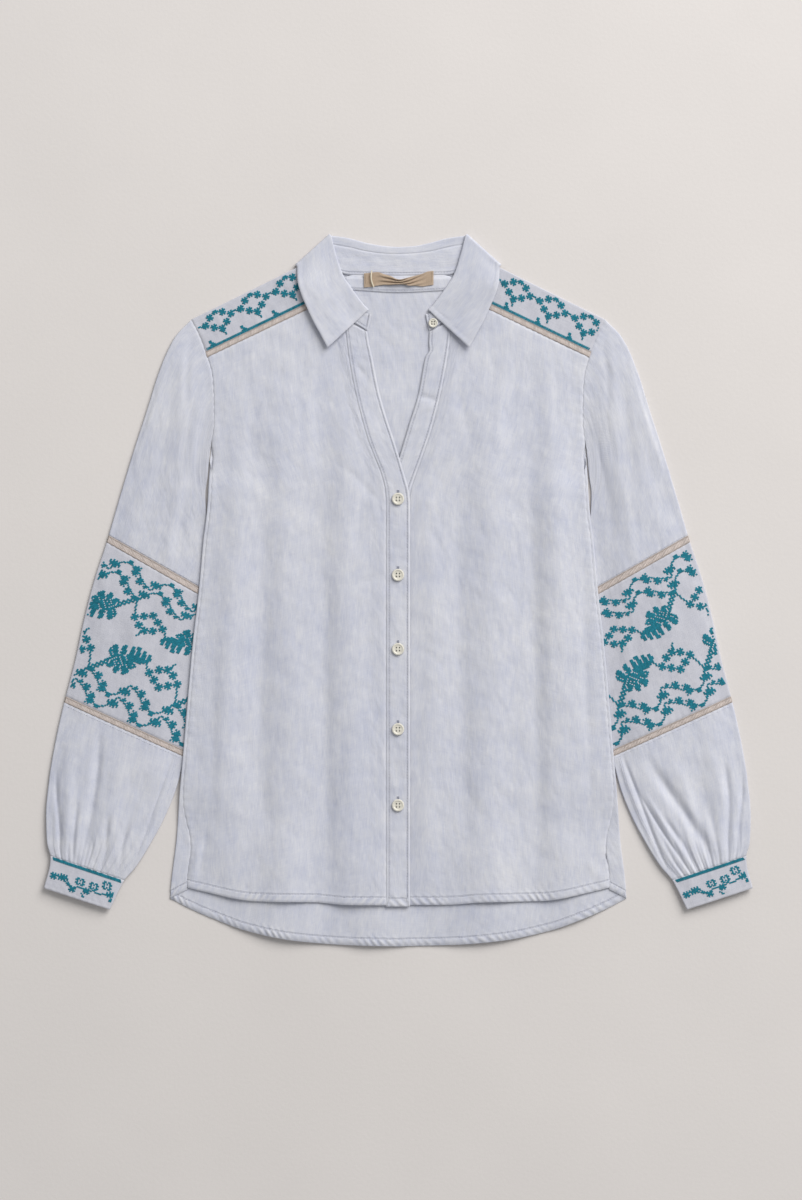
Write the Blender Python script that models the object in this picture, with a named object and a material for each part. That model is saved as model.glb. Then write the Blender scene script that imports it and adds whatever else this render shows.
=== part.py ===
"""A folk shirt with an open collar, embroidered sleeves and a curved hem, laid flat face up.

All sizes below are in millimetres. X runs to the wearer's left, Y towards the collar, Z up.
Each cloth piece is a wall of even thickness around a grid of middle points.
"""
import math

import bmesh
import bpy
import numpy as np

MM = 0.001

# Cloth layers
CLOTH = 1.0            # thickness of every cloth wall
STEP = 1.6             # height from one layer's middle to the next one's
FOLD = STEP / 2        # radius of a fold's middle line
EDGE = FOLD + CLOTH / 2    # from a fold's outline in to its axis
SEAM = 0.3             # clearance on each side of a seam line
SLEEVE_LIFT = 3.0      # the body's rise over a sleeve tucked beneath it
COLLAR_LIFT = 1.6      # the body's rise over the collar's back fall

# Body outline: height on the body, half width at the armhole seam or side fold
BODY_EDGE = (
    (281.3, 215.3), (270.0, 209.0), (257.0, 203.5), (244.0, 199.2), (223.0, 193.4),
    (197.0, 191.8), (177.0, 191.7), (156.0, 193.5), (140.0, 195.0), (114.0, 197.0),
    (93.0, 198.1), (73.0, 200.0), (52.0, 202.8), (21.0, 205.5), (-10.0, 208.5),
    (-52.0, 213.5), (-100.0, 217.9), (-174.0, 224.1), (-218.0, 228.0), (-239.0, 229.3),
    (-260.0, 230.9), (-281.0, 233.5), (-302.0, 236.1), (-320.0, 237.6),
)
# How far the back panel wraps to the front: height, width of the strip
SIDE_WRAP = (
    (140.0, 1.6), (-195.0, 1.6), (-222.0, 3.0), (-245.0, 8.0), (-262.0, 13.0), (-281.0, 16.0),
    (-303.0, 15.5), (-320.0, 17.0),
)
ARMPIT_Y = 140.0
SIDE_FOLD_Y = 121.0    # below this the side is a full fold
# Edges across the body: distance from the centre, height
BACK_TOP = ((0.0, 326.6), (50.0, 327.2), (57.0, 325.0), (69.7, 310.0), (199.0, 247.0))
BACK_HEM = (
    (0.0, -370.2), (55.0, -368.7), (109.0, -364.0), (159.0, -353.6), (188.0, -343.2),
    (213.0, -332.8), (237.6, -320.3), (256.0, -311.0),
)
FRONT_HEM = (
    (11.0, -327.2), (54.0, -326.8), (88.0, -324.2), (150.0, -323.0), (208.0, -312.5), (222.0, -309.2),
)
NECK_CORNER = (56.8, 281.0)    # where a front's neckline meets its placket
SIDE_ROWS = (
    246.7, 232.0, 212.0, 185.0, 158.0, 140.0, 130.0, 119.0, 100.0, 70.0, 25.0, -25.0, -75.0,
    -122.0, -162.0, -195.0, -222.0, -245.0, -262.0, -281.0, -303.0, -320.3,
)
BACK_COLUMNS = (0.0, 0.15, 0.28, 0.35, 0.5, 0.62, 0.73, 0.83, 0.94, 1.0)
FRONT_COLUMNS = (
    0.0, 0.03, 0.08, 0.14, 0.21, 0.28, 0.35, 0.42, 0.49, 0.56, 0.63, 0.7, 0.77, 0.84, 0.91, 0.96, 1.0,
)

# Plackets: height, the seam with the front, the free edge, both from the centre front
PLACKET_OVER = (
    (281.0, -56.5, -32.5), (268.0, -54.5, -31.0), (247.0, -52.0, -28.0),
    (210.0, -45.5, -21.0), (183.0, -39.0, -13.8), (155.0, -31.0, -4.6), (137.0, -24.0, 1.0),
    (119.0, -17.0, 6.2), (103.0, -13.3, 10.6), (90.0, -12.5, 12.0), (-328.5, -12.5, 12.0),
)
PLACKET_UNDER = (
    (281.0, 56.5, 32.5), (268.0, 54.0, 32.0), (254.0, 52.5, 32.6), (243.0, 51.0, 28.6), (205.0, 43.8, 21.5),
    (170.0, 35.0, 11.0), (137.0, 24.0, 1.0), (119.0, 17.5, -5.5), (104.0, 12.5, -10.0),
    (90.0, 10.5, -12.0), (-325.5, 10.5, -12.0),
)
PLACKET_SLANT = 12.6   # the neck seam drops this much across a placket
LAP_FROM_Y = 205.0     # the right front climbs onto the left one from here
LAP_FULL_Y = 150.0     # and lies on it from here down

# Soft ridges of the fronts: across, top end, bottom end, half width, height
RIDGES = (
    (-163.0, 190.0, -330.0, 17.0, 1.6), (-122.0, 215.0, -280.0, 15.0, 1.3),
    (-72.0, 200.0, -330.0, 18.0, 1.9), (-36.0, 90.0, -300.0, 13.0, 1.0),
    (52.0, 130.0, -330.0, 17.0, 1.9), (96.0, 220.0, -260.0, 14.0, 1.1),
    (146.0, 200.0, -330.0, 18.0, 1.8),
)

# Yoke: the shoulder fold and the seam, each from the neck to the armhole
YOKE_FOLD = ((85.3, 345.3), (215.3, 281.3))
YOKE_SEAM = ((69.7, 310.0), (199.5, 248.0))
BRAID_WIDTH = 6.4

# Collar: half of it, from the centre back round to the front end.
# Columns: stand seam, stand top, roll line, free edge (each across, along)
COLLAR_BACK = (
    ((0.0, 326.9), (0.0, 349.0), (0.0, 356.7), (0.0, 312.0)),
    ((17.0, 327.1), (17.0, 349.8), (17.0, 358.0), (20.0, 313.0)),
    ((34.0, 327.4), (34.0, 352.0), (34.0, 361.3), (42.0, 316.0)),
    ((50.0, 327.8), (51.0, 356.0), (52.0, 366.0), (68.0, 322.0)),
    ((67.5, 332.0), (70.5, 359.5), (69.5, 368.6), (105.0, 336.4)),
)
COLLAR_FRONT = (
    ((67.5, 332.0), (70.5, 359.5), (69.5, 368.6), (105.0, 336.4)),
    ((70.0, 318.0), (72.6, 345.0), (64.5, 349.0), (104.5, 322.0)),
    ((66.5, 307.0), (63.5, 326.6), (58.0, 329.0), (100.5, 307.0)),
    ((64.0, 298.0), (55.0, 312.6), (50.0, 316.0), (95.0, 294.0)),
    ((57.5, 287.0), (48.0, 302.4), (43.0, 306.0), (88.0, 279.0)),
    ((47.0, 279.0), (41.0, 293.6), (36.5, 297.5), (80.0, 264.5)),
    ((38.0, 273.5), (35.6, 287.6), (31.0, 291.5), (73.5, 252.0)),
)
STAND_END = ((32.0, 269.4), (28.4, 286.4))    # the stand runs on past the fall: seam, top
COLLAR_REACH = 104.0   # half width of the back fall beneath the yokes

# Sleeve rings: place along the sleeve, outer edge, inner edge (across, along), puff of the upper layer
SLEEVE = (
    (0.00, 215.3, 281.3, 196.8, 140.4, 2.2), (0.05, 233.0, 262.0, 197.6, 132.0, 2.6),
    (0.13, 248.0, 229.0, 198.8, 117.0, 3.0), (0.24, 262.0, 185.0, 200.6, 100.0, 3.2),
    (0.36, 276.0, 142.0, 199.6, 80.0, 3.2), (0.48, 291.0, 92.0, 189.0, 36.0, 3.0),
    (0.58, 303.3, 50.0, 183.0, -18.3, 2.8), (0.65, 316.2, 10.4, 184.0, -52.0, 2.8),
    (0.72, 327.1, -31.2, 191.0, -88.4, 3.0), (0.79, 336.4, -74.0, 204.0, -131.0, 3.0),
    (0.86, 347.4, -116.5, 221.5, -173.7, 3.2), (0.905, 356.5, -157.0, 231.5, -209.0, 3.6),
    (0.945, 363.3, -198.0, 243.5, -238.0, 3.8), (0.975, 366.4, -235.0, 257.0, -263.0, 3.6),
    (0.992, 365.4, -262.0, 272.0, -287.0, 2.6), (1.00, 361.7, -276.0, 284.5, -301.6, 1.6),
    (1.06, 368.2, -309.4, 299.5, -331.8, 1.4),
)
BRAID_UPPER_AT = 0.58
BRAID_LOWER_AT = 0.86
CUFF_AT = 1.0
CUFF_END = 1.06
BRAID_UPPER_SHARE = 0.0145     # widths of the braids and seams along the table's first column
BRAID_LOWER_SHARE = 0.0085
RING_GAP = 0.45        # millimetres between two stretches of a sleeve
TOP_POINTS = 11        # points over a sleeve's upper layer, and where it is gathered
GATHER_POINTS = 39
GATHERS = 10           # gathers above each cuff
GATHER_HEIGHT = 1.5
SIDE_BY_SIDE = 2.0     # an outer layer stays low this far past the body's edge

# Buttons
BUTTON_SIZE = 13.0
COLLAR_BUTTON_SIZE = 10.0
BUTTON_HEIGHTS = (94.6, 15.6, -61.4, -144.6, -223.6)
BUTTON_X = -0.3
COLLAR_BUTTON = (36.2, 277.5)
BUTTON_SIDES = 14
THREAD_HOLE = 1.7

# Neck facing and label: across, along
FACING_TOP = ((-50.5, 324.6), (0.0, 324.0), (50.5, 324.6))
FACING_FOOT = ((-41.0, 312.4), (0.0, 309.4), (41.0, 312.4))
LABEL_LEFT = -35.6
LABEL_RIGHT = 36.4
LABEL_TOP = 330.0
LABEL_FOOT = 315.6
LABEL_LEVEL = 4.7
LOOP_LEVEL = 5.7
LABEL_BUCKLE = 3.2
LOOP_X = -27.6

CHAMBRAY = (0.58, 0.63, 0.76)
PANEL = (0.64, 0.66, 0.72)
BRAID = (0.60, 0.50, 0.42)
HORN = (0.78, 0.75, 0.67)
TAN = (0.50, 0.36, 0.20)
LOOP = (0.80, 0.72, 0.56)


def ramp(value, start, end):
    """A smooth step: 0 at start, 1 at end."""
    part = np.clip((np.asarray(value, float) - start) / (end - start), 0.0, 1.0)
    return part * part * (3.0 - 2.0 * part)


def smooth(xs, ys, at):
    """A smooth curve through the points (xs, ys) with no overshoot, flat past both ends."""
    xs = np.asarray(xs, float)
    ys = np.asarray(ys, float)
    if xs[0] > xs[-1]:
        xs = xs[::-1]
        ys = ys[::-1]
    rise = np.diff(ys) / np.diff(xs)
    slope = np.zeros(len(xs))
    same = rise[:-1] * rise[1:] > 0
    total = np.where(same, rise[:-1] + rise[1:], 1.0)
    slope[1:-1] = np.where(same, 2.0 * rise[:-1] * rise[1:] / total, 0.0)
    slope[0] = rise[0]
    slope[-1] = rise[-1]
    at = np.clip(np.asarray(at, float), xs[0], xs[-1])
    i = np.clip(np.searchsorted(xs, at) - 1, 0, len(xs) - 2)
    width = xs[i + 1] - xs[i]
    t = (at - xs[i]) / width
    start = ys[i] * (1 + 2 * t) * (1 - t) ** 2 + slope[i] * width * t * (1 - t) ** 2
    end = ys[i + 1] * t * t * (3 - 2 * t) + slope[i + 1] * width * t * t * (t - 1)
    return start + end


def column(table, at, index=1):
    """One column of a table, read at a value of its first column."""
    return smooth([row[0] for row in table], [row[index] for row in table], at)


def body_edge(y):
    return column(BODY_EDGE, y)


def wrap_width(y):
    return column(SIDE_WRAP, y)


def lift(x, y):
    """Height of what lies beneath the body: the tucked sleeves and the collar's back fall."""
    x = np.abs(x)
    depth = body_edge(y) - x
    across = 1.0 - ramp(depth, 36.0, 78.0)
    along = ramp(y, ARMPIT_Y, 97.0) * (1.0 - ramp(y, -200.0, -252.0))
    foot = 305.0 + 23.0 * (x / COLLAR_REACH) ** 2
    past = np.hypot(np.maximum(foot - y, 0.0), np.maximum(x - COLLAR_REACH - 6.0, 0.0))
    collar = COLLAR_LIFT * (1.0 - ramp(past, 0.0, 45.0))
    return np.maximum(SLEEVE_LIFT * across * along, collar)


def puff(x, y):
    """Air and soft ridges under the fronts, none at the side folds, shoulders and neck."""
    height = np.zeros(np.broadcast(x, y).shape)
    for across, top, bottom, half, tall in RIDGES:
        along = ramp(y, top + 60.0, top - 60.0) * ramp(y, bottom - 90.0, bottom + 60.0)
        height = height + tall * along * np.exp(-(((x - across) / half) ** 2))
    dome = 1.2 * ramp(y, 240.0, 120.0) * ramp(y, -360.0, -250.0)
    inside = ramp(body_edge(y) - np.abs(x), 5.0, 45.0)
    return (height + dome) * inside


def lap(x, y):
    """The right front's rise where its placket lies on the left one."""
    across = 1.0 - ramp(-x, 20.0, 85.0)
    return STEP * ramp(y, LAP_FROM_Y, LAP_FULL_Y) * across


def wall(name, grid, finish, looped=False, thickness=CLOTH):
    """Close a grid of middle points into a wall: two faces and a rim. A looped wall is a tube."""
    grid = np.asarray(grid, float)
    rows, cols = grid.shape[:2]
    down = np.gradient(grid, axis=0)
    if looped:
        across = np.roll(grid, -1, axis=1) - np.roll(grid, 1, axis=1)
    else:
        across = np.gradient(grid, axis=1)
    normal = np.cross(across, down)
    normal /= np.linalg.norm(normal, axis=2, keepdims=True)
    upper = grid + normal * thickness / 2
    lower = grid - normal * thickness / 2
    points = np.concatenate((upper.reshape(-1, 3), lower.reshape(-1, 3))) * MM
    size = rows * cols
    last = cols if looped else cols - 1
    faces = []
    for i in range(rows - 1):
        for j in range(last):
            a = i * cols + j
            b = i * cols + (j + 1) % cols
            faces.append((a, b, b + cols, a + cols))
            faces.append((size + a, size + a + cols, size + b + cols, size + b))
    for j in range(last):
        k = (j + 1) % cols
        foot = (rows - 1) * cols
        faces.append((j, size + j, size + k, k))
        faces.append((foot + j, foot + k, size + foot + k, size + foot + j))
    if not looped:
        for i in range(rows - 1):
            a = i * cols
            b = a + cols - 1
            faces.append((a, a + cols, size + a + cols, size + a))
            faces.append((b, size + b, size + b + cols, b + cols))
    return solid(name, points, faces, finish)


def solid(name, points, faces, finish):
    mesh = bpy.data.meshes.new(name)
    mesh.from_pydata([tuple(point) for point in points], [], faces)
    work = bmesh.new()
    work.from_mesh(mesh)
    bmesh.ops.recalc_face_normals(work, faces=work.faces)
    work.to_mesh(mesh)
    work.free()
    return place(name, mesh, finish)


def place(name, mesh, finish):
    colour, roughness = finish
    mesh.shade_smooth()
    mesh.set_sharp_from_angle(angle=math.radians(50))
    piece = bpy.data.objects.new(name, mesh)
    bpy.context.scene.collection.objects.link(piece)
    material = bpy.data.materials.new(name)
    material.use_nodes = True
    surface = material.node_tree.nodes["Principled BSDF"]
    surface.inputs["Base Color"].default_value = (*colour, 1.0)
    surface.inputs["Roughness"].default_value = roughness
    surface.inputs["Metallic"].default_value = 0.0
    mesh.materials.clear()
    mesh.materials.append(material)
    return piece


def stack(x, y, z):
    return np.stack(np.broadcast_arrays(x, y, z), axis=-1)


def side_profile(y):
    """Across the back's side: distance and height past the flat part, flat at an armhole."""
    turned = float(ramp(y, ARMPIT_Y, SIDE_FOLD_Y))
    wrap = float(wrap_width(y))
    across = [0.0]
    height = [0.0]
    for step in range(4):
        heading = math.pi * turned * (step + 0.5) / 4
        reach = 2 * FOLD * math.sin(math.pi / 8)
        across.append(across[-1] + reach * math.cos(heading))
        height.append(height[-1] + reach * math.sin(heading))
    for _ in range(2):
        heading = math.pi * turned
        across.append(across[-1] + wrap / 2 * math.cos(heading))
        height.append(height[-1] + wrap / 2 * math.sin(heading))
    margin = SEAM + (CLOTH / 2 - SEAM) * turned
    return np.array(across), np.array(height), float(body_edge(y)) - margin - max(across)


def back_panel():
    """The back: rows from the neck and armholes to the curved hem, sides folded up to the front."""
    top = SIDE_ROWS[0]
    foot = SIDE_ROWS[-1]
    rows = []
    for side_y in SIDE_ROWS:
        part = (top - side_y) / (top - foot)
        across, height, flat = side_profile(side_y)
        x = np.concatenate((np.array(BACK_COLUMNS) * flat, flat + across[1:]))
        z = np.concatenate((np.zeros(len(BACK_COLUMNS)), height[1:]))
        strip_length = np.cumsum(np.hypot(np.diff(across), np.diff(height)))
        developed = np.concatenate((x[:len(BACK_COLUMNS)], flat + strip_length))
        top_x = np.minimum(developed * 199.0 / max(flat, 1.0), 199.0)
        hem_x = developed * (237.6 - EDGE) / max(flat, 1.0)
        top_line = np.interp(top_x, [row[0] for row in BACK_TOP], [row[1] for row in BACK_TOP]) - top
        hem_line = column(BACK_HEM, hem_x) - foot
        y = side_y + top_line * (1 - part) ** 2 + hem_line * part ** 2
        z = z + CLOTH / 2 + lift(x, y)
        half = stack(x, y, z)
        mirrored = half[:0:-1] * (-1.0, 1.0, 1.0)
        rows.append(np.concatenate((mirrored, half)))
    return np.array(rows)


def front_edge(y):
    """Where a front's side edge runs: at the armhole seam, then along the back's wrapped strip."""
    rows = np.array(SIDE_ROWS)
    part = (rows[0] - rows) / (rows[0] - rows[-1])
    strip = 237.6 + math.pi * FOLD - EDGE + wrap_width(rows)
    reached = rows + (column(BACK_HEM, strip) - rows[-1]) * part ** 2
    row = np.interp(-np.asarray(y, float), -reached, rows)
    below = ramp(y, ARMPIT_Y + 12.0, ARMPIT_Y - 2.0)
    inset = (EDGE + wrap_width(row) + 4 * SEAM) * below + SEAM * (1 - below)
    return body_edge(row) * below + body_edge(y) * (1 - below) - inset


def front_top(x):
    """Height of a front's top edge: the neckline, then just below the yoke's braid."""
    corner, end = YOKE_SEAM
    drop = BRAID_WIDTH + 4 * SEAM
    across = (NECK_CORNER[0], corner[0], end[0])
    return np.interp(x, across, (NECK_CORNER[1], corner[1] - drop, end[1] - drop))


def placket_rows():
    """Heights of the rows along a placket's seam, shared with the front beside it."""
    rows = np.array(SIDE_ROWS[:-1])
    part = (rows[0] - rows) / (rows[0] - rows[-1])
    return NECK_CORNER[1] + (FRONT_HEM[0][1] - NECK_CORNER[1]) * part


def front_panel(side):
    """One front: rows from the yoke and neckline to the hem, columns from placket to side."""
    placket_line = PLACKET_UNDER if side > 0 else PLACKET_OVER
    side_top = float(front_top(YOKE_SEAM[1][0]))
    side_foot = FRONT_HEM[-1][1]
    share = np.array(FRONT_COLUMNS)
    seam_rows = placket_rows()
    seam_top = seam_rows[0]
    seam_foot = seam_rows[-1]
    top_x = NECK_CORNER[0] + (front_edge(side_top) - NECK_CORNER[0]) * share
    top_line = front_top(top_x) - (seam_top + (side_top - seam_top) * share)
    hem_x = FRONT_HEM[0][0] + (FRONT_HEM[-1][0] - FRONT_HEM[0][0]) * share
    hem_line = column(FRONT_HEM, hem_x) - (seam_foot + (side_foot - seam_foot) * share)
    rows = []
    for seam_y, side_row in zip(seam_rows, SIDE_ROWS):
        part = (SIDE_ROWS[0] - side_row) / (SIDE_ROWS[0] - SIDE_ROWS[-2])
        side_y = side_row + (side_top - SIDE_ROWS[0]) * (1 - part) + (side_foot - SIDE_ROWS[-2]) * part
        seam_x = abs(float(column(placket_line, seam_y))) + SEAM
        x = seam_x + (front_edge(side_y) - seam_x) * share
        y = seam_y + (side_y - seam_y) * share + top_line * (1 - part) ** 2 + hem_line * part ** 2
        z = CLOTH / 2 + STEP + lift(x, y) + puff(side * x, y)
        if side < 0:
            z = z + lap(side * x, y)
        rows.append(stack(side * x, y, z))
    return np.array(rows)


def placket(table, over):
    """A placket band, following its front's edge from the neck to the hem."""
    y = placket_rows()
    y[-1] = table[-1][0]
    seam = column(table, y)
    free = column(table, y, 2)
    toward = np.sign(free - seam)
    share = np.array([0.0, 0.5, 1.0])
    start = seam + toward * SEAM
    x = start[:, None] + (free - start)[:, None] * share
    slant = PLACKET_SLANT * ramp(y, 235.0, NECK_CORNER[1])
    y = y[:, None] - slant[:, None] * share
    z = CLOTH / 2 + STEP + lift(x, y) + puff(x, y)
    if over:
        z = z + lap(x, y)
    return stack(x, y, z)


def yoke_lines(side, drop=0.0):
    """The yoke's seam line from neck to armhole, moved down the front by drop."""
    share = np.linspace(0.0, 1.0, 10)
    seam = np.array(YOKE_SEAM[0]) + (np.array(YOKE_SEAM[1]) - YOKE_SEAM[0]) * share[:, None]
    seam[:, 1] -= drop
    seam[-1, 0] = body_edge(seam[-1, 1]) - SEAM
    return seam


def yoke(side):
    """A shoulder piece: up the front to the shoulder fold, over it and down the back."""
    seam = yoke_lines(side)
    share = np.linspace(0.0, 1.0, 10)[:, None]
    fold = np.array(YOKE_FOLD[0]) + (np.array(YOKE_FOLD[1]) - YOKE_FOLD[0]) * share
    along = fold[-1] - fold[0]
    outward = np.array((-along[1], along[0])) / np.hypot(*along)
    fold = fold - outward * EDGE
    fold[-1, 0] -= SEAM
    columns = []
    for part in (0.0, 0.35, 0.7, 1.0):
        plan = seam + (fold - seam) * part
        plan[-1, 0] = min(plan[-1, 0], body_edge(plan[-1, 1]) - SEAM)
        z = CLOTH / 2 + STEP + lift(plan[:, 0], plan[:, 1])
        columns.append(stack(plan[:, 0], plan[:, 1], z))
    for angle in (45.0, 90.0, 135.0):
        turn = math.radians(angle)
        plan = fold + outward * FOLD * math.sin(turn)
        z = CLOTH / 2 + FOLD + FOLD * math.cos(turn) + lift(fold[:, 0], fold[:, 1])
        columns.append(stack(plan[:, 0], plan[:, 1], z))
    for part in (1.0, 0.7, 0.35, 0.0):
        plan = seam + (fold - seam) * part
        plan[-1, 0] = min(plan[-1, 0], body_edge(plan[-1, 1]) - SEAM)
        columns.append(stack(plan[:, 0], plan[:, 1], CLOTH / 2 + lift(plan[:, 0], plan[:, 1])))
    grid = np.array(columns)
    grid[:, :, 0] *= side
    return grid


def yoke_braid(side):
    """The braid set in between a yoke and its front."""
    upper = yoke_lines(side, SEAM)
    lower = yoke_lines(side, SEAM + BRAID_WIDTH)
    grid = np.array([stack(line[:, 0], line[:, 1], CLOTH / 2 + STEP + lift(line[:, 0], line[:, 1]))
                     for line in (upper, lower)])
    grid[:, :, 0] *= side
    return grid


def collar_sections():
    """Plan lines of the half collar from the centre back to the front end, and each one's turn."""
    lines = [(np.array(row), 0.0) for row in COLLAR_BACK]
    for angle in (36.0, 72.0, 108.0, 144.0):
        lines.append((np.array(COLLAR_BACK[-1]), math.radians(angle)))
    front = np.array(COLLAR_FRONT)
    places = np.arange(len(front), dtype=float)
    for place_at in np.linspace(0.0, len(front) - 1.0, 9):
        line = np.array([[smooth(places, front[:, k, c], place_at) for c in (0, 1)] for k in range(4)])
        lines.append((line, math.pi))
    return lines


def ribbon_points(plan, ring, turn, outward):
    """Lift plan points to their height about the fold's axis, at the section's turn."""
    plan = plan + outward * (ring * math.sin(turn))[:, None]
    centre = CLOTH / 2 + FOLD + lift(plan[:, 0], plan[:, 1])
    z = centre - ring * math.cos(turn)
    if turn > 3.0:
        z = z + puff(plan[:, 0], plan[:, 1])
    return stack(plan[:, 0], plan[:, 1], z)


def mirrored_ribbon(half):
    """Join a half ribbon, given from the centre back outwards, to its mirror image."""
    half = np.array(half)
    return np.concatenate((half[:0:-1] * (-1.0, 1.0, 1.0), half))


def collar():
    """The fall: from the stand's top, over the roll and down to its free edge, all round the neck."""
    half = []
    for line, turn in collar_sections():
        seam, top, roll, free = line
        axis = roll - (roll - free) / np.hypot(*(roll - free)) * EDGE
        outer = [axis + (free - axis) * part for part in (0.0, 0.2, 0.4, 0.6, 0.8, 1.0)]
        start = 0.06 if seam[0] < 60.0 and turn < 1.0 else 0.6
        inner = [top + (axis - top) * part for part in (start, 1.0)]
        beyond = (roll - free) / np.hypot(*(roll - free))
        arc = [axis + beyond * FOLD * math.sin(math.radians(a)) for a in (45.0, 90.0, 135.0)]
        rings = [FOLD, FOLD] + [STEP - FOLD * math.cos(math.radians(a)) for a in (45.0, 90.0, 135.0)]
        rings = rings + [STEP + FOLD] * len(outer)
        plan = np.array(inner + arc + outer)
        outward = np.array((0.69, 0.72))
        half.append(ribbon_points(plan, np.array(rings), turn, outward))
    return mirrored_ribbon(half)


def collar_stand():
    """The stand: a band from the neck seam to the roll, hidden by the leaves but for its ends."""
    half = []
    sections = collar_sections()
    end = np.array(STAND_END)
    sections.append((end, math.pi))
    for line, turn in sections:
        seam, top = line[0], line[1]
        plan = np.array([seam + (top - seam) * part for part in (0.0, 0.5, 1.0)])
        outward = np.array((1.0, 0.25))
        half.append(ribbon_points(plan, np.full(3, FOLD), turn, outward))
    return mirrored_ribbon(half)


def sleeve_rise(x, y):
    """Puff of a sleeve's upper layer: none beside the body, more away from it."""
    return ramp(x - body_edge(y), SIDE_BY_SIDE, 34.0)


def sleeve_ring(at, shares, gathered):
    """Points round a sleeve at one place along it: over the top from the outer edge, then beneath."""
    places = [row[0] for row in SLEEVE]
    outer = np.array([smooth(places, [row[c] for row in SLEEVE], at) for c in (1, 2)])
    inner = np.array([smooth(places, [row[c] for row in SLEEVE], at) for c in (3, 4)])
    tall = float(smooth(places, [row[5] for row in SLEEVE], at))
    width = np.hypot(*(inner - outer))
    away = float(1.0 - ramp(at, 0.0, 0.30))

    def plan(distance):
        share = np.asarray(distance, float) / width
        point = outer + (inner - outer) * share[..., None]
        chord_y = SLEEVE[0][2] + (SLEEVE[0][4] - SLEEVE[0][2]) * share
        chord_x = SLEEVE[0][1] + (SLEEVE[0][3] - SLEEVE[0][1]) * share
        seam = body_edge(chord_y) + SEAM + 1.5 * ramp(share, 0.8, 1.0) - chord_x
        point[..., 0] = point[..., 0] + away * seam
        return point

    radius = EDGE - CLOTH / 2
    shares = np.asarray(shares)
    over = plan(CLOTH / 2 + radius + (width - CLOTH - 2 * radius) * shares)
    from_outer = shares * width
    dome = 0.3 + 0.7 * ramp(from_outer, 0.0, 26.0)
    if at >= CUFF_AT:
        rise = tall * np.minimum(dome, 0.3 + 0.7 * ramp(width - from_outer, 0.0, 20.0))
    elif at > BRAID_LOWER_AT:
        inner_dome = 0.25 + 0.75 * ramp(width - from_outer, 0.0, 30.0)
        free = float(ramp(at, BRAID_LOWER_AT, 0.93))
        beside = sleeve_rise(over[:, 0], over[:, 1])
        rise = tall * dome * (beside * (1 - free) + inner_dome * free)
    else:
        rise = tall * dome * sleeve_rise(over[:, 0], over[:, 1])
    if gathered:
        near = float(ramp(at, 0.90, 1.0))
        wave = np.cos(2 * math.pi * GATHERS * shares + 0.8 * np.sin(7.0 * shares + 1.0))
        reach = 0.55 + 0.45 * np.sin(23.0 * shares + 2.0)
        inside = ramp(shares, 0.02, 0.12) * ramp(1 - shares, 0.02, 0.12)
        rise = rise + GATHER_HEIGHT * near ** (1.2 + reach) * inside * (0.5 + 0.5 * wave)
    low = CLOTH / 2
    z = low + STEP + rise
    points = [stack(over[:, 0], over[:, 1], z)]
    for end, share in ((1, 1.0), (0, 0.0)):
        top = z[-1] if end else z[0]
        half = (top - low) / 2
        angles = np.radians((45.0, 0.0, -45.0) if end else (-45.0, 0.0, 45.0))
        reach = CLOTH / 2 + radius * (1 - np.cos(angles))
        edge = plan(width - reach if end else reach)
        points.append(stack(edge[:, 0], edge[:, 1], low + half + half * np.sin(angles)))
        if end:
            beneath = np.array((1.0, 0.7, 0.35, 0.0))
            under = plan(CLOTH / 2 + radius + (width - CLOTH - 2 * radius) * beneath)
            points.append(stack(under[:, 0], under[:, 1], np.full(4, low)))
    return np.concatenate(points)


def sleeve_tube(side, places, across, gathered=False):
    """A stretch of sleeve as a tube of rings, mirrored for the wearer's right arm."""
    shares = np.linspace(0.0, 1.0, across)
    grid = np.array([sleeve_ring(at, shares, gathered) for at in places])
    grid[:, :, 0] *= side
    return grid


def seam_share(at):
    """The seam gap as a share of the sleeve's length, before one place along it."""
    places = [row[0] for row in SLEEVE]
    near = np.array((at - 0.002, at))
    ends = [smooth(places, [(row[c] + row[c + 2]) / 2 for row in SLEEVE], near) for c in (1, 2)]
    return 0.002 * RING_GAP / math.hypot(ends[0][1] - ends[0][0], ends[1][1] - ends[1][0])


def sleeve(side, word):
    """One sleeve: upper part, embroidered insert between two braids, gathered lower part, cuff."""
    cloth = (CHAMBRAY, 0.85)
    insert = (PANEL, 0.85)
    top = BRAID_UPPER_AT - BRAID_UPPER_SHARE
    foot = BRAID_LOWER_AT - BRAID_LOWER_SHARE
    rows = (0.0, 0.03, 0.07, 0.13, 0.2, 0.28, 0.36, 0.44, 0.51, top - seam_share(top))
    wall("sleeve_upper_" + word, sleeve_tube(side, rows, TOP_POINTS), cloth, looped=True)
    rows = (top, BRAID_UPPER_AT)
    wall("sleeve_braid_upper_" + word, sleeve_tube(side, rows, TOP_POINTS), (BRAID, 0.9), looped=True)
    rows = np.linspace(BRAID_UPPER_AT + seam_share(BRAID_UPPER_AT), foot - seam_share(foot), 8)
    wall("sleeve_panel_" + word, sleeve_tube(side, rows, TOP_POINTS), insert, looped=True)
    rows = (foot, BRAID_LOWER_AT)
    wall("sleeve_braid_lower_" + word, sleeve_tube(side, rows, TOP_POINTS), (BRAID, 0.9), looped=True)
    start = BRAID_LOWER_AT + seam_share(BRAID_LOWER_AT)
    rows = (start, 0.9, 0.93, 0.958, 0.982, CUFF_AT - seam_share(CUFF_AT))
    wall("sleeve_lower_" + word, sleeve_tube(side, rows, GATHER_POINTS, gathered=True), cloth, looped=True)
    rows = (CUFF_AT, (CUFF_AT + CUFF_END) / 2, CUFF_END)
    wall("cuff_" + word, sleeve_tube(side, rows, TOP_POINTS), insert, looped=True)


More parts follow.
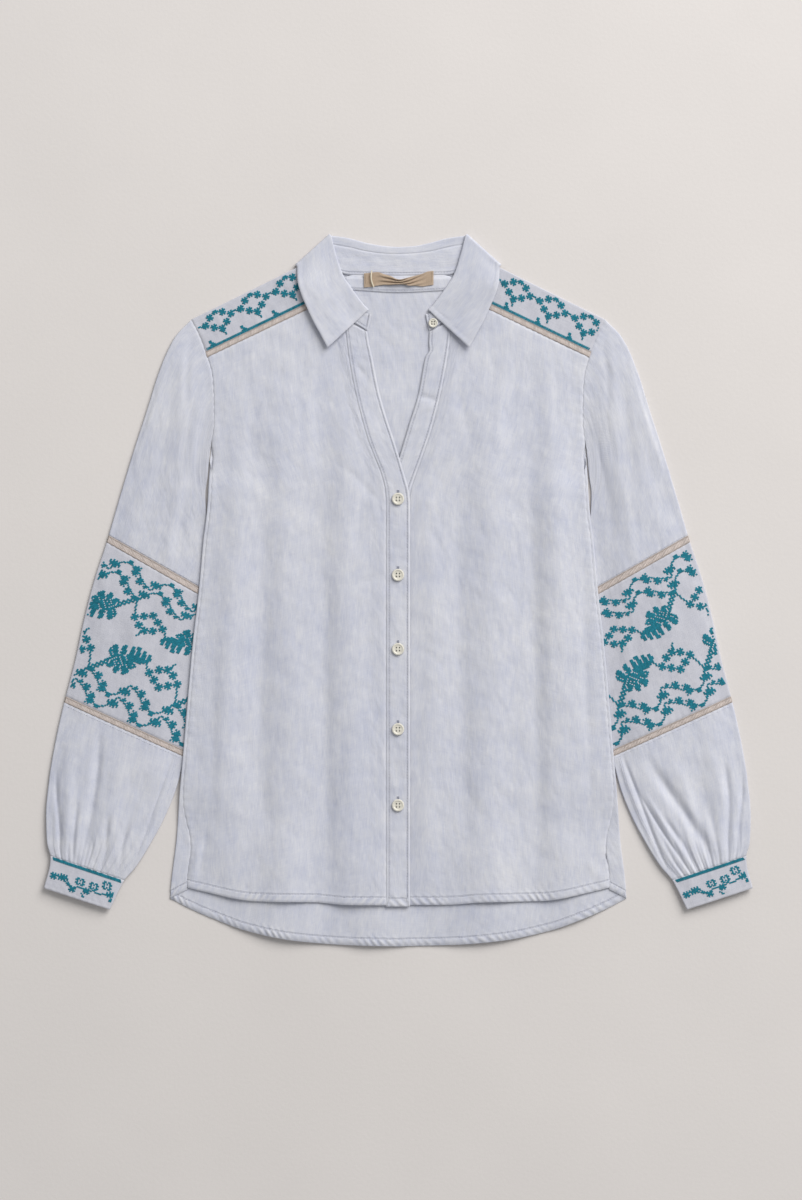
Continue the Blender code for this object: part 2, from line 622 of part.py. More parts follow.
def strip(top, foot, level, shares):
    """A flat strip between two lines, each given by three points."""
    rows = []
    for line in (top, foot):
        x = np.array([point[0] for point in line])
        y = np.array([point[1] for point in line])
        across = x[0] + (x[-1] - x[0]) * shares
        rows.append((across, smooth(x, y, across)))
    middle = tuple((a + b) / 2 for a, b in zip(*rows))
    return np.array([stack(x, y, CLOTH / 2 + lift(x, y) + level) for x, y in (rows[0], middle, rows[1])])


def neck_label():
    """A blank label sewn down at both ends, buckled in its middle."""
    share = np.linspace(0.0, 1.0, 17)
    x = LABEL_LEFT + (LABEL_RIGHT - LABEL_LEFT) * share
    buckle = LABEL_BUCKLE * np.sin(math.pi * ramp(share, 0.18, 0.82)) ** 2
    rows = []
    for part in (0.0, 0.5, 1.0):
        tilt = (0.5 - part) * 2.2 * np.sin(2 * math.pi * share)
        flare = 2.0 * np.sin(math.pi * share) * (0.5 - part)
        y = LABEL_TOP + (LABEL_FOOT - LABEL_TOP) * part - 1.6 * share + flare
        z = LABEL_LEVEL + buckle + np.maximum(tilt, 0.0) * ramp(share, 0.1, 0.3)
        rows.append(stack(x, y, z))
    return np.array(rows)


def label_loop():
    """A pale thread loop lying across the label's end."""
    y = np.linspace(LABEL_TOP + 1.0, LABEL_FOOT - 0.5, 9)
    middle = LOOP_X + 1.2 * np.sin(np.linspace(0.0, math.pi, 9))
    bow = 0.8 * np.sin(np.linspace(0.0, math.pi, 9))
    return np.array([stack(middle + way, y, LOOP_LEVEL + bow) for way in (-0.8, 0.0, 0.8)])


def button_mesh(size):
    """A four-hole button: flat back, rounded rim, dished face."""
    radius = size / 2
    profile = ((0.84, 0.0), (1.0, 0.8), (0.94, 2.0), (0.78, 2.2), (0.6, 1.6))
    angles = np.linspace(0.0, 2 * math.pi, BUTTON_SIDES, endpoint=False)
    points = []
    for reach, height in profile:
        for angle in angles:
            across = radius * reach * math.cos(angle)
            along = radius * reach * math.sin(angle)
            points.append((across * MM, along * MM, height * MM))
    faces = []
    for ring in range(len(profile) - 1):
        for k in range(BUTTON_SIDES):
            a = ring * BUTTON_SIDES + k
            b = ring * BUTTON_SIDES + (k + 1) % BUTTON_SIDES
            faces.append((a, b, b + BUTTON_SIDES, a + BUTTON_SIDES))
    faces.append(tuple(reversed(range(BUTTON_SIDES))))
    last = (len(profile) - 1) * BUTTON_SIDES
    faces.append(tuple(range(last, last + BUTTON_SIDES)))
    disc = solid("button_blank", points, faces, (HORN, 0.35))
    cutters = bmesh.new()
    reach = size * 0.125 * MM
    for across, along in ((1, 1), (1, -1), (-1, -1), (-1, 1)):
        drilled = bmesh.ops.create_cone(
            cutters, cap_ends=True, segments=6, radius1=THREAD_HOLE / 2 * MM,
            radius2=THREAD_HOLE / 2 * MM, depth=8 * MM)
        bmesh.ops.translate(cutters, verts=drilled["verts"], vec=(across * reach, along * reach, 0.0))
    tool_mesh = bpy.data.meshes.new("hole_cutter")
    cutters.to_mesh(tool_mesh)
    cutters.free()
    tool = bpy.data.objects.new("hole_cutter", tool_mesh)
    bpy.context.scene.collection.objects.link(tool)
    cut = disc.modifiers.new("holes", "BOOLEAN")
    cut.operation = "DIFFERENCE"
    cut.object = tool
    bpy.context.view_layer.update()
    graph = bpy.context.evaluated_depsgraph_get()
    mesh = bpy.data.meshes.new_from_object(disc.evaluated_get(graph))
    bpy.data.objects.remove(disc)
    bpy.data.objects.remove(tool)
    return mesh


def buttons():
    mesh = button_mesh(BUTTON_SIZE)
    for number, y in enumerate(BUTTON_HEIGHTS, start=1):
        piece = place("button_" + str(number), mesh.copy(), (HORN, 0.35))
        level = CLOTH + STEP + float(lift(BUTTON_X, y) + puff(BUTTON_X, y) + lap(BUTTON_X, y))
        piece.location = (BUTTON_X * MM, y * MM, (level + 0.45) * MM)
    piece = place("button_collar", button_mesh(COLLAR_BUTTON_SIZE), (HORN, 0.35))
    level = CLOTH + STEP + float(lift(*COLLAR_BUTTON))
    piece.location = (COLLAR_BUTTON[0] * MM, COLLAR_BUTTON[1] * MM, (level + 0.5) * MM)


def main():
    for old in list(bpy.data.objects):
        bpy.data.objects.remove(old)
    cloth = (CHAMBRAY, 0.85)
    wall("back", back_panel(), cloth)
    for side, word in ((-1, "right"), (1, "left")):
        wall("front_" + word, front_panel(side), cloth)
        wall("yoke_" + word, yoke(side), (PANEL, 0.85))
        wall("yoke_braid_" + word, yoke_braid(side), (BRAID, 0.9))
        sleeve(side, word)
    wall("placket_right", placket(PLACKET_OVER, True), cloth)
    wall("placket_left", placket(PLACKET_UNDER, False), cloth)
    wall("collar", collar(), cloth)
    wall("collar_stand", collar_stand(), cloth)
    wall("neck_facing", strip(FACING_TOP, FACING_FOOT, 1.3, np.linspace(0.0, 1.0, 13)), cloth)
    wall("neck_label", neck_label(), (TAN, 0.8), thickness=0.8)
    wall("label_loop", label_loop(), (LOOP, 0.8), thickness=0.8)
    buttons()


main()
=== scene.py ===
"""Looks of a folk shirt laid flat: thin creased cloth, braid, cross-stitch, topstitching and buttons.

The script is laid out as a Blender add-on and run as a script. Lengths in the tables are in
millimetres, in the frame's own axes: X to the wearer's left, Y towards the collar, Z up.
"""

import math

import bmesh
import bpy
import numpy as np
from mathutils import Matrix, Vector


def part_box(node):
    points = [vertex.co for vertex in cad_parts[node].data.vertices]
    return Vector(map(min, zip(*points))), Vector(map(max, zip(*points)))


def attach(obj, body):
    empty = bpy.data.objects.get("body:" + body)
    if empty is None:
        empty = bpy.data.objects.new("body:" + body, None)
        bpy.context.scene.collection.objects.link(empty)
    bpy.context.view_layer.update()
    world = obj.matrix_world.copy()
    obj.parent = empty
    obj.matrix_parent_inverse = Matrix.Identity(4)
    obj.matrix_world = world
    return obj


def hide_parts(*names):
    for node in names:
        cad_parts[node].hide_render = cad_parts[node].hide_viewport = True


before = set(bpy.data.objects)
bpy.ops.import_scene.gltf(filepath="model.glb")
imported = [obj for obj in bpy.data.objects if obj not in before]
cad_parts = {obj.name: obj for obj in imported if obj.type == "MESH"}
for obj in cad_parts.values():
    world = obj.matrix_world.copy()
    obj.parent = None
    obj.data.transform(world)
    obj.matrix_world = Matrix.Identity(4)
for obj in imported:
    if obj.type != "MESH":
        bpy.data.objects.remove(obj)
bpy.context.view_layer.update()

bl_info = {
    "name": "Folk shirt, laid flat",
    "version": (1, 0, 0),
    "blender": (4, 5, 0),
    "location": "3D View > Sidebar > Folk Shirt",
    "description": "Makes the cloth, braid, embroidery, sewing and stage of a folk shirt laid flat",
    "category": "Object",
}

MM = 0.001
SMALLEST_CUT = 0.0102      # a braid's width with its seam allowances, in metres

# Cloth layers, as in the solids, with seams drawn nearly closed
CLOTH = 1.0
STEP = 1.6
FOLD = STEP / 2
EDGE = FOLD + CLOTH / 2    # from a fold's outline in to its axis
UPPER = CLOTH / 2 + STEP   # middle of the upper layer where nothing lies beneath
SEAM = 0.03
SLEEVE_LIFT = 3.0
COLLAR_LIFT = 1.6

# Body outline: height on the body, half width at the armhole seam or side fold
BODY_EDGE = (
    (281.3, 215.3), (270.0, 209.0), (257.0, 203.5), (244.0, 199.2), (223.0, 193.4),
    (197.0, 191.8), (177.0, 191.7), (156.0, 193.5), (140.0, 195.0), (114.0, 197.0),
    (93.0, 198.1), (73.0, 200.0), (52.0, 202.8), (21.0, 205.5), (-10.0, 208.5),
    (-52.0, 213.5), (-100.0, 217.9), (-174.0, 224.1), (-218.0, 228.0), (-239.0, 229.3),
    (-260.0, 230.9), (-281.0, 233.5), (-302.0, 236.1), (-320.0, 237.6),
)
# How far the back panel wraps to the front: height, width of the strip
SIDE_WRAP = (
    (140.0, 1.6), (-195.0, 1.6), (-222.0, 3.0), (-245.0, 8.0), (-262.0, 13.0), (-281.0, 16.0),
    (-303.0, 15.5), (-320.0, 17.0),
)
ARMPIT_Y = 140.0
SIDE_FOLD_Y = 121.0
SIDE_TOP = 246.7
SIDE_FOOT = -320.3
# Edges across the body: distance from the centre, height
BACK_TOP = ((0.0, 326.6), (50.0, 327.2), (57.0, 325.0), (69.7, 310.0), (199.0, 247.0))
BACK_HEM = (
    (0.0, -370.2), (55.0, -368.7), (109.0, -364.0), (159.0, -353.6), (188.0, -343.2),
    (213.0, -332.8), (237.6, -320.3), (256.0, -311.0),
)
FRONT_HEM = (
    (11.0, -327.2), (54.0, -326.8), (88.0, -324.2), (150.0, -323.0), (208.0, -312.5), (222.0, -309.2),
)
NECK_CORNER = (56.8, 281.0)

# Plackets: height, the seam with the front, the free edge, both from the centre front
PLACKET_OVER = (
    (281.0, -56.5, -32.5), (268.0, -54.5, -31.0), (247.0, -52.0, -28.0),
    (210.0, -45.5, -21.0), (183.0, -39.0, -13.8), (155.0, -31.0, -4.6), (137.0, -24.0, 1.0),
    (119.0, -17.0, 6.2), (103.0, -13.3, 10.6), (90.0, -12.5, 12.0), (-328.5, -12.5, 12.0),
)
PLACKET_UNDER = (
    (281.0, 56.5, 32.5), (268.0, 54.0, 32.0), (254.0, 52.5, 32.6), (243.0, 51.0, 28.6), (205.0, 43.8, 21.5),
    (170.0, 35.0, 11.0), (137.0, 24.0, 1.0), (119.0, 17.5, -5.5), (104.0, 12.5, -10.0),
    (90.0, 10.5, -12.0), (-325.5, 10.5, -12.0),
)
PLACKETS = {-1: PLACKET_OVER, 1: PLACKET_UNDER}
PLACKET_RISE = 0.3         # a placket's middle over its front's
PLACKET_SLANT = 12.6       # the neck seam drops this much across a placket
LAP_FROM_Y = 205.0         # the right front climbs onto the left one from here
LAP_FULL_Y = 150.0         # and lies on it from here down

# Soft ridges of the fronts: across, top end, bottom end, half width, height
RIDGES = (
    (-176.0, 180.0, -330.0, 19.0, 2.0), (-116.0, 205.0, -330.0, 21.0, 3.1),
    (-52.0, 175.0, -330.0, 18.0, 2.9), (34.0, 90.0, -300.0, 15.0, 1.7),
    (96.0, 190.0, -330.0, 22.0, 3.2), (163.0, 210.0, -330.0, 18.0, 2.7),
)
# Creases: from (across, along), to (across, along), half width, height (a trough is negative)
BODY_CREASES = (
    (-140.0, 140.0, -139.0, -290.0, 9.0, -0.9), (-79.0, 60.0, -70.0, -318.0, 8.0, -0.9),
    (-158.0, 230.0, -150.0, 120.0, 6.0, -0.4), (-98.0, 238.0, -92.0, 110.0, 7.0, 0.5),
    (-186.0, -40.0, -196.0, -240.0, 6.0, -0.6), (-32.0, 120.0, -46.0, 40.0, 5.0, -0.5),
    (-22.0, 96.0, -58.0, 128.0, 4.0, -0.5), (-18.0, 16.0, -47.0, 2.0, 4.0, -0.35),
    (66.0, 120.0, 66.0, -300.0, 9.0, -0.9), (140.0, 150.0, 143.0, -310.0, 8.0, -1.0),
    (194.0, 20.0, 198.0, -250.0, 5.0, -0.7), (110.0, 242.0, 104.0, 140.0, 7.0, 0.5),
    (22.0, 100.0, 52.0, 138.0, 4.0, -0.5), (60.0, 232.0, 74.0, 150.0, 6.0, -0.5),
    (20.0, -60.0, 44.0, -78.0, 4.0, -0.35), (160.0, 236.0, 168.0, 150.0, 6.0, -0.4),
    (223.0, -262.0, 204.0, -302.0, 2.2, -0.9), (196.0, -276.0, 214.0, -308.0, 5.0, 0.6),
    (-207.0, -262.0, -214.0, -306.0, 2.6, 0.9), (-199.0, -250.0, -205.0, -300.0, 3.0, -0.6),
    (20.5, 202.0, 41.0, 196.0, 2.2, -0.8), (22.0, 186.0, 36.0, 190.0, 3.0, 0.4),
    (-44.0, 236.0, -30.0, 214.0, 3.0, -0.5),
)
# Where the hems stand off the floor: across, half width, height
HEM_LIFTS = ((-122.0, 40.0, 5.5), (-28.0, 30.0, 4.0), (92.0, 42.0, 4.5), (186.0, 24.0, 3.0))
CREASE_GAIN = 1.5
# Creases of each sleeve, in the same columns, across given from the shirt's middle line
SLEEVE_CREASES = {
    -1: (
        (226.0, 236.0, 262.0, 70.0, 9.0, -0.9), (207.0, 150.0, 232.0, 30.0, 7.0, -0.8),
        (246.0, 240.0, 284.0, 110.0, 10.0, 0.9), (216.0, 262.0, 222.0, 190.0, 4.0, -0.6),
        (222.0, 120.0, 247.0, 12.0, 6.0, 0.7), (206.0, 205.0, 214.0, 120.0, 5.0, 0.6),
        (262.0, 20.0, 276.0, -60.0, 9.0, 0.7), (246.0, -30.0, 262.0, -104.0, 7.0, -0.5),
        (300.0, 30.0, 322.0, -60.0, 8.0, 0.5), (309.0, -150.0, 327.0, -284.0, 4.6, -2.2),
        (340.0, -150.0, 346.0, -262.0, 7.0, 0.9), (284.0, -168.0, 305.0, -262.0, 9.0, 0.8),
        (263.0, -190.0, 292.0, -282.0, 6.0, -0.7), (355.0, -190.0, 352.0, -272.0, 2.6, -1.1),
        (334.0, -222.0, 338.0, -286.0, 2.8, -1.4), (300.0, -236.0, 309.0, -292.0, 3.0, -1.2),
        (281.0, -246.0, 292.0, -296.0, 2.6, -0.9), (232.0, -168.0, 281.0, -300.0, 1.3, -0.6),
        (228.0, -170.0, 276.0, -302.0, 2.4, 0.45), (317.0, -262.0, 322.0, -290.0, 1.8, -0.8),
    ),
    1: (
        (224.0, 240.0, 252.0, 100.0, 8.0, -0.8), (205.0, 160.0, 224.0, 40.0, 7.0, -0.9),
        (244.0, 235.0, 276.0, 120.0, 10.0, 0.9), (213.0, 258.0, 219.0, 180.0, 4.0, -0.6),
        (226.0, 130.0, 250.0, 20.0, 6.0, 0.7), (258.0, 150.0, 280.0, 64.0, 8.0, -0.5),
        (270.0, 16.0, 286.0, -70.0, 9.0, 0.6), (244.0, -24.0, 256.0, -100.0, 7.0, -0.6),
        (306.0, 24.0, 326.0, -70.0, 8.0, 0.5), (340.0, -180.0, 344.0, -276.0, 3.6, -2.3),
        (262.0, -176.0, 328.0, -284.0, 5.6, -2.2), (308.0, -180.0, 330.0, -262.0, 7.0, -1.0),
        (324.0, -150.0, 337.0, -240.0, 7.0, 0.8), (285.0, -180.0, 312.0, -244.0, 7.0, 0.8),
        (252.0, -214.0, 300.0, -292.0, 1.8, -1.1), (258.0, -212.0, 302.0, -286.0, 2.2, 0.7),
        (358.0, -190.0, 354.0, -270.0, 2.6, -1.2), (276.0, -236.0, 312.0, -292.0, 3.0, -1.1),
        (229.0, -165.0, 286.0, -306.0, 2.0, -1.0), (224.0, -168.0, 281.0, -308.0, 2.6, 0.6),
    ),
}

# Yoke: the shoulder fold and the seam, each from the neck to the armhole
YOKE_FOLD = ((85.3, 345.3), (215.3, 281.3))
YOKE_SEAM = ((69.7, 310.0), (199.5, 248.0))
BRAID_WIDTH = 6.4

# Collar: half of it, from the centre back round to the front end.
# Columns: stand seam, stand top, roll line, free edge (each across, along)
COLLAR_BACK = (
    ((0.0, 326.9), (0.0, 349.0), (0.0, 356.7), (0.0, 312.0)),
    ((17.0, 327.1), (17.0, 349.8), (17.0, 358.0), (20.0, 313.0)),
    ((34.0, 327.4), (34.0, 352.0), (34.0, 361.3), (42.0, 316.0)),
    ((50.0, 327.8), (51.0, 356.0), (52.0, 366.0), (68.0, 322.0)),
    ((67.5, 332.0), (70.5, 359.5), (69.5, 368.6), (105.0, 336.4)),
)
COLLAR_FRONT = (
    ((67.5, 332.0), (70.5, 359.5), (69.5, 368.6), (105.0, 336.4)),
    ((70.0, 318.0), (72.6, 345.0), (64.5, 349.0), (104.5, 322.0)),
    ((66.5, 307.0), (63.5, 326.6), (58.0, 329.0), (100.5, 307.0)),
    ((64.0, 298.0), (55.0, 312.6), (50.0, 316.0), (95.0, 294.0)),
    ((57.5, 287.0), (48.0, 302.4), (43.0, 306.0), (88.0, 279.0)),
    ((47.0, 279.0), (41.0, 293.6), (36.5, 297.5), (80.0, 264.5)),
    ((38.0, 273.5), (35.6, 287.6), (31.0, 291.5), (73.5, 252.0)),
)
STAND_END = ((32.0, 269.4), (28.4, 286.4))    # the stand runs on past the fall: seam, top
COLLAR_REACH = 104.0       # half width of the back fall beneath the yokes
FALL_OUTWARD = np.array((0.69, 0.72))         # the way that each bulges where it turns at the shoulder
STAND_OUTWARD = np.array((1.0, 0.25))
ON_LEAF = (-3, -8)         # a point of the fall's grid, and one of the stand's, that faces up
ON_STAND = (-3, 5)
# Soft hollows and swells of the collar's leaf: along the front sections, out from the roll, radius, height
LEAF_SWELLS = (
    (0.35, 0.45, 0.3, 0.9), (0.75, 0.6, 0.22, 0.7), (0.55, 0.85, 0.2, -0.4), (0.95, 0.5, 0.16, 0.5),
)

# Sleeve rings: place along the sleeve, outer edge, inner edge (across, along), puff of the upper layer
SLEEVE = (
    (0.00, 215.3, 281.3, 196.8, 140.4, 2.2), (0.05, 233.0, 262.0, 197.6, 132.0, 2.6),
    (0.13, 248.0, 229.0, 198.8, 117.0, 3.0), (0.24, 262.0, 185.0, 200.6, 100.0, 3.2),
    (0.36, 276.0, 142.0, 199.6, 80.0, 3.2), (0.48, 291.0, 92.0, 189.0, 36.0, 3.0),
    (0.58, 303.3, 50.0, 183.0, -18.3, 2.8), (0.65, 316.2, 10.4, 184.0, -52.0, 2.8),
    (0.72, 327.1, -31.2, 191.0, -88.4, 3.0), (0.79, 336.4, -74.0, 204.0, -131.0, 3.0),
    (0.86, 347.4, -116.5, 221.5, -173.7, 3.2), (0.905, 356.5, -157.0, 231.5, -209.0, 3.6),
    (0.945, 363.3, -198.0, 243.5, -238.0, 3.8), (0.975, 366.4, -235.0, 257.0, -263.0, 3.6),
    (0.992, 365.4, -262.0, 272.0, -287.0, 2.6), (1.00, 361.7, -276.0, 284.5, -301.6, 1.6),
    (1.06, 368.2, -309.4, 299.5, -331.8, 1.4),
)
# Where the braids and the cuff start and end, as a share of the sleeve's length
UPPER_BRAID = (0.58 - 0.0145, 0.58)
LOWER_BRAID = (0.86 - 0.0085, 0.86)
CUFF_AT = 1.0
CUFF_END = 1.06
BRAID_RISE = 0.12
BRAID_STITCH = 0.0035      # from a braid to the row of stitches beside it, as a share of the length
UNDERARM_ROWS = (6.0, 7.8)
RING_GAP = 0.0001          # seam gap between two stretches of a sleeve, as a share of its length
GATHERS = 10
GATHER_HEIGHT = 0.9
SIDE_BY_SIDE = 2.0

BUTTON_HEIGHTS = (94.6, 15.6, -61.4, -144.6, -223.6)
BUTTON_X = -0.3

# Neck facing and label: across, along
FACING_TOP = ((-55.0, 324.4), (0.0, 324.0), (55.0, 324.4))
FACING_FOOT = ((-50.0, 312.2), (0.0, 309.4), (50.0, 311.6))
FACING_LEVEL = 1.3
LABEL_LEFT = -35.6
LABEL_RIGHT = 36.4
LABEL_TOP = 330.0
LABEL_FOOT = 315.6
LABEL_LEVEL = 4.7
LOOP_LEVEL = 5.9
# The label along its length: share, width kept where the tape bunches, how far its middle line moves up
LABEL_BUNCH = (
    (0.0, 1.0, -1.2), (0.1, 1.0, -0.6), (0.2, 0.95, 0.4), (0.3, 0.72, -0.6),
    (0.38, 0.62, -1.6), (0.46, 0.42, -2.6), (0.54, 0.36, -3.0), (0.62, 0.5, -2.6),
    (0.74, 0.72, -1.6), (0.84, 0.9, -0.8), (0.93, 1.0, 0.8), (1.0, 1.0, 1.4),
)
# The label's tape, its rows of stitches and their pitch, and the cord that loops over it
LABEL_THICKNESS = 0.5
LABEL_ROW = 1.6
LABEL_PITCH = 1.8
LOOP_X = -27.6
LOOP_DROP = 17.0
LOOP_RADIUS = 0.75
LOOP_COLOURS = ((0.55, 0.47, 0.34), (0.86, 0.8, 0.66))

# Cross-stitch charts, one mark for each cross
LEAF = (
    "..#.#.#.",
    "#.#####.",
    "########",
    ".#####.#",
    ".#.#.#..",
)
TALL_LEAF = (
    "..#.#",
    "####.",
    ".####",
    "####.",
    ".####",
    "#####",
    ".###.",
    "..#.#",
)
BUD = (
    ".#.",
    "###",
    ".#.",
)
EYE = (
    "###",
    "#.#",
    "###",
)
PALMETTE = (
    "................###.........",
    ".............##.###..##.....",
    "........##...##..##..##..##.",
    ".......###...###.###.###.##.",
    "..##...###...###.###.###.###",
    ".####..####..###.###.###.###",
    ".####...###..##############.",
    "#.####.####.###############.",
    "######..##..#############...",
    "##.#########.##########.....",
    ".##.####.####.####..........",
    "..####.##.##########........",
    "...##.####.#######.##.......",
    "..##.##.###.##.#####........",
    ".##.##.##.##.##.###.........",
    "....###.###.#####...........",
    "....####.##.######..........",
    "...####.####.#####..........",
    "...###..####..###...........",
    "........###...##............",
    ".........##.................",
)
RING_STAR = (
    ".#.#.",
    "#####",
    ".###.",
    "#####",
    ".#.#.",
)
FLOWER = (
    ".##.##.",
    "##.#.##",
    ".#...#.",
    "##.#.##",
    ".##.##.",
)
TWIG = (
    "#..",
    ".#.",
    ".##",
    ".#.",
)
SPRIG = ((-1, 2), (0, 2), (1, 2), (2, 2), (0, 3), (1, 3), (0, 4), (-1, 4), (-1, 5), (0, 5))
# One vine repeat: turning points in stitches (across, down), and what is set on it
VINE_REPEAT = 31
VINE_PATH = ((10, 15), (13, 10), (16, 6), (20, 4), (24, 6), (29, 8), (33, 12), (41, 15))
VINE_PARTS = ((LEAF, (12, 10)), (TALL_LEAF, (26, 8)), (EYE, (20, 4)), (RING_STAR, (32, 13)), (BUD, (37, 15)))
VINE_STEP = (-3, 10)       # the second vine's place from the first
SLEEVE_REPEAT = 2 * VINE_REPEAT
SLEEVE_CENTRE = (34, 52)   # the design is the same when turned half round about here
# A ring of stars about its middle, the palmette and the row of eyes beside it, and the stems that join them
RING = ((-10, 0), (-5, -3), (0, -6), (5, -3), (10, 0), (5, 4), (0, 6), (-5, 4))
RING_CENTRE = (52, 37)
PALMETTE_CENTRE = (17, 39)
EYE_ROW = tuple((29 + 2 * k, 33 - 2 * k) for k in range(5))
STEMS = (((38, 26), (39, 31), (41, 34)), ((51, 44), (49, 48)), ((64, 38), (67, 43)))
SLEEVE_PITCH = 1.6
PANEL_SHEAR = 0.275        # how far the outer fold runs off the cloth's grain
PANEL_LENGTH = 164.0
PANEL_MARGIN = 1.2
SLEEVE_SHIFT = {-1: 0.0, 1: 103.0}
# Yoke garland: rings of stars, one each repeat
YOKE_PITCH = 1.45
YOKE_REPEAT = 28
YOKE_RING = ((7, 17), (12, 21), (17, 24), (22, 21), (27, 17), (22, 13), (17, 10), (12, 13))
YOKE_STEMS = (((29, 18), (33, 17)), ((17, 8), (18, 5)))
YOKE_SHIFT = {-1: 0.0, 1: -17.0}
YOKE_POINTS = 48           # points along a yoke's seam and its fold
SPRIG_FROM = 8.0
SPRIG_EVERY = 36.5
EDGE_ROW_PITCH = 1.15      # the close row of stitches along a yoke's seam and a cuff's top
# Cuff vine: turning points and what is set on it, in stitches from the cuff's outer top corner
CUFF_PITCH = 1.55
CUFF_LENGTH = 33.0
CUFF_PATH = (
    (1, 11), (5, 9), (9, 9), (13, 12), (18, 14), (22, 12), (28, 13), (32, 11), (36, 12), (41, 11), (46, 10),
    (52, 10),
)
CUFF_PARTS = (
    (FLOWER, ((22, 8), (32, 8), (41, 5))),
    (LEAF, ((10, 9), (46, 10))),
    (RING_STAR, ((3, 10), (18, 15), (28, 13), (51, 10))),
    (BUD, ((14, 12), (46, 14))),
    (TWIG, ((26, 18), (46, 17), (53, 6))),
)

CLOTH_SLOT = "chambray"
PANEL_SLOT = "embroidered_cloth"
BRAID_SLOT = "braid"
WORDS = {-1: "right", 1: "left"}

# Stitched edges, each with the distance of its row of stitches
BACK_ROWS = (("foot", 7.4),)
FRONT_ROWS = (("foot", 8.0),)
PLACKET_ROWS = (("start", 2.8), ("end", 2.8), ("foot", 8.0))
STAND_ROWS = (("start", 2.4), ("top", 2.4), ("foot", 2.4))
FACING_ROWS = (("foot", 1.8),)
BRAID_ROWS = (("top", 1.0), ("foot", 1.0))

# Threads: width, height over the cloth
TOP_THREAD = (0.55, 0.3)
LABEL_THREAD = (0.5, 0.3)
CROSS_THREAD = (1.3, 0.45)
CUFF_THREAD = (1.15, 0.42)
CORD_THREAD = (0.5, 0.3)
RUNG_THREAD = (0.85, 0.25)
# Near-black bars in the button holes are painted shade of the holes
HOLE_SHADE_SIZE = (1.15, 0.2)
BUTTON_THREAD = (0.7, 0.4)
SLIT_THREAD = (0.5, 0.3)
THREAD_SINK = 0.12         # how deep a thread's feet are in the cloth
CROSS_OVER = 0.14          # how far the upper thread of a cross lies over the lower one
RUNG_GAINS = ((1.08, 1.1, 1.12), (1.38, 1.44, 1.5))    # a braid's rungs against its colour: deep, pale

# Buttons: holes from the middle as a share of the width, height of the face, half length of the near-black
# bar in each hole, painted shade
HOLE_SHARE = 0.125
BUTTON_FACE = 1.6
HOLE_SHADE_HALF = 0.6
# Colours of the bars in the button holes: near-black, painted shade
HOLE_SHADE_COLOURS = ((0.04, 0.04, 0.04), (0.12, 0.11, 0.10))
BUTTON_THREAD_COLOURS = ((0.5, 0.48, 0.42), (0.72, 0.7, 0.62))
# Buttonholes: stitches along the slit from its button's middle, inner and outer ends, end bars
SLIT = (-5.5, 8.8, 0.5)
SLIT_INNER = 0.15
SLIT_OUTER = 1.25
BAR_HALF = 1.3
BAR_PAST = 0.4

# Stage, in metres
FLOOR_REACH = 6.0
LAMP_SIZE = 4.2
LAMP_PLACE = (3.1, 4.0, 3.9)
LAMP_TINT = (1.0, 0.985, 0.965)
SKY_TINT = (0.98, 0.99, 1.0, 1.0)
CAMERA_PLACE = (0.0028, -0.0104)
SENSOR_WIDTH = 36.0
VIEW_END = 50.0


def shares(count):
    """Even steps from 0 to 1."""
    return np.linspace(0.0, 1.0, count)


def between(start, end, part):
    """The value at a part of the way from start to end."""
    return start + (end - start) * part


def bell(value):
    """1 at zero, falling off to both sides."""
    return np.exp(-(value ** 2))


def ramp(value, start, end):
    """A smooth step: 0 at start, 1 at end."""
    part = np.clip((np.asarray(value, float) - start) / (end - start), 0.0, 1.0)
    return part * part * (3.0 - 2.0 * part)


def smooth(xs, ys, at):
    """A smooth curve through the points (xs, ys) with no overshoot, flat past both ends."""
    xs = np.asarray(xs, float)
    ys = np.asarray(ys, float)
    if xs[0] > xs[-1]:
        xs = xs[::-1]
        ys = ys[::-1]
    rise = np.diff(ys) / np.diff(xs)
    slope = np.zeros(len(xs))
    same = rise[:-1] * rise[1:] > 0
    total = np.where(same, rise[:-1] + rise[1:], 1.0)
    slope[1:-1] = np.where(same, 2.0 * rise[:-1] * rise[1:] / total, 0.0)
    slope[0] = rise[0]
    slope[-1] = rise[-1]
    at = np.clip(np.asarray(at, float), xs[0], xs[-1])
    i = np.clip(np.searchsorted(xs, at) - 1, 0, len(xs) - 2)
    width = xs[i + 1] - xs[i]
    t = (at - xs[i]) / width
    start = ys[i] * (1 + 2 * t) * (1 - t) ** 2 + slope[i] * width * t * (1 - t) ** 2
    end = ys[i + 1] * t * t * (3 - 2 * t) + slope[i + 1] * width * t * t * (t - 1)
    return start + end


def column(table, at, index=1):
    """One column of a table, read at a value of its first column."""
    return smooth([row[0] for row in table], [row[index] for row in table], at)


def body_edge(y):
    """Half width of the body at a height."""
    return column(BODY_EDGE, y)


def lift(x, y):
    """Height of what lies beneath the body: the tucked sleeves and the collar's back fall."""
    x = np.abs(x)
    depth = body_edge(y) - x
    across = 1.0 - ramp(depth, 36.0, 78.0)
    along = ramp(y, ARMPIT_Y, 97.0) * (1.0 - ramp(y, -200.0, -252.0))
    foot = 305.0 + 23.0 * (x / COLLAR_REACH) ** 2
    past = np.hypot(np.maximum(foot - y, 0.0), np.maximum(x - COLLAR_REACH - 6.0, 0.0))
    collar = COLLAR_LIFT * (1.0 - ramp(past, 0.0, 45.0))
    return np.maximum(SLEEVE_LIFT * across * along, collar)


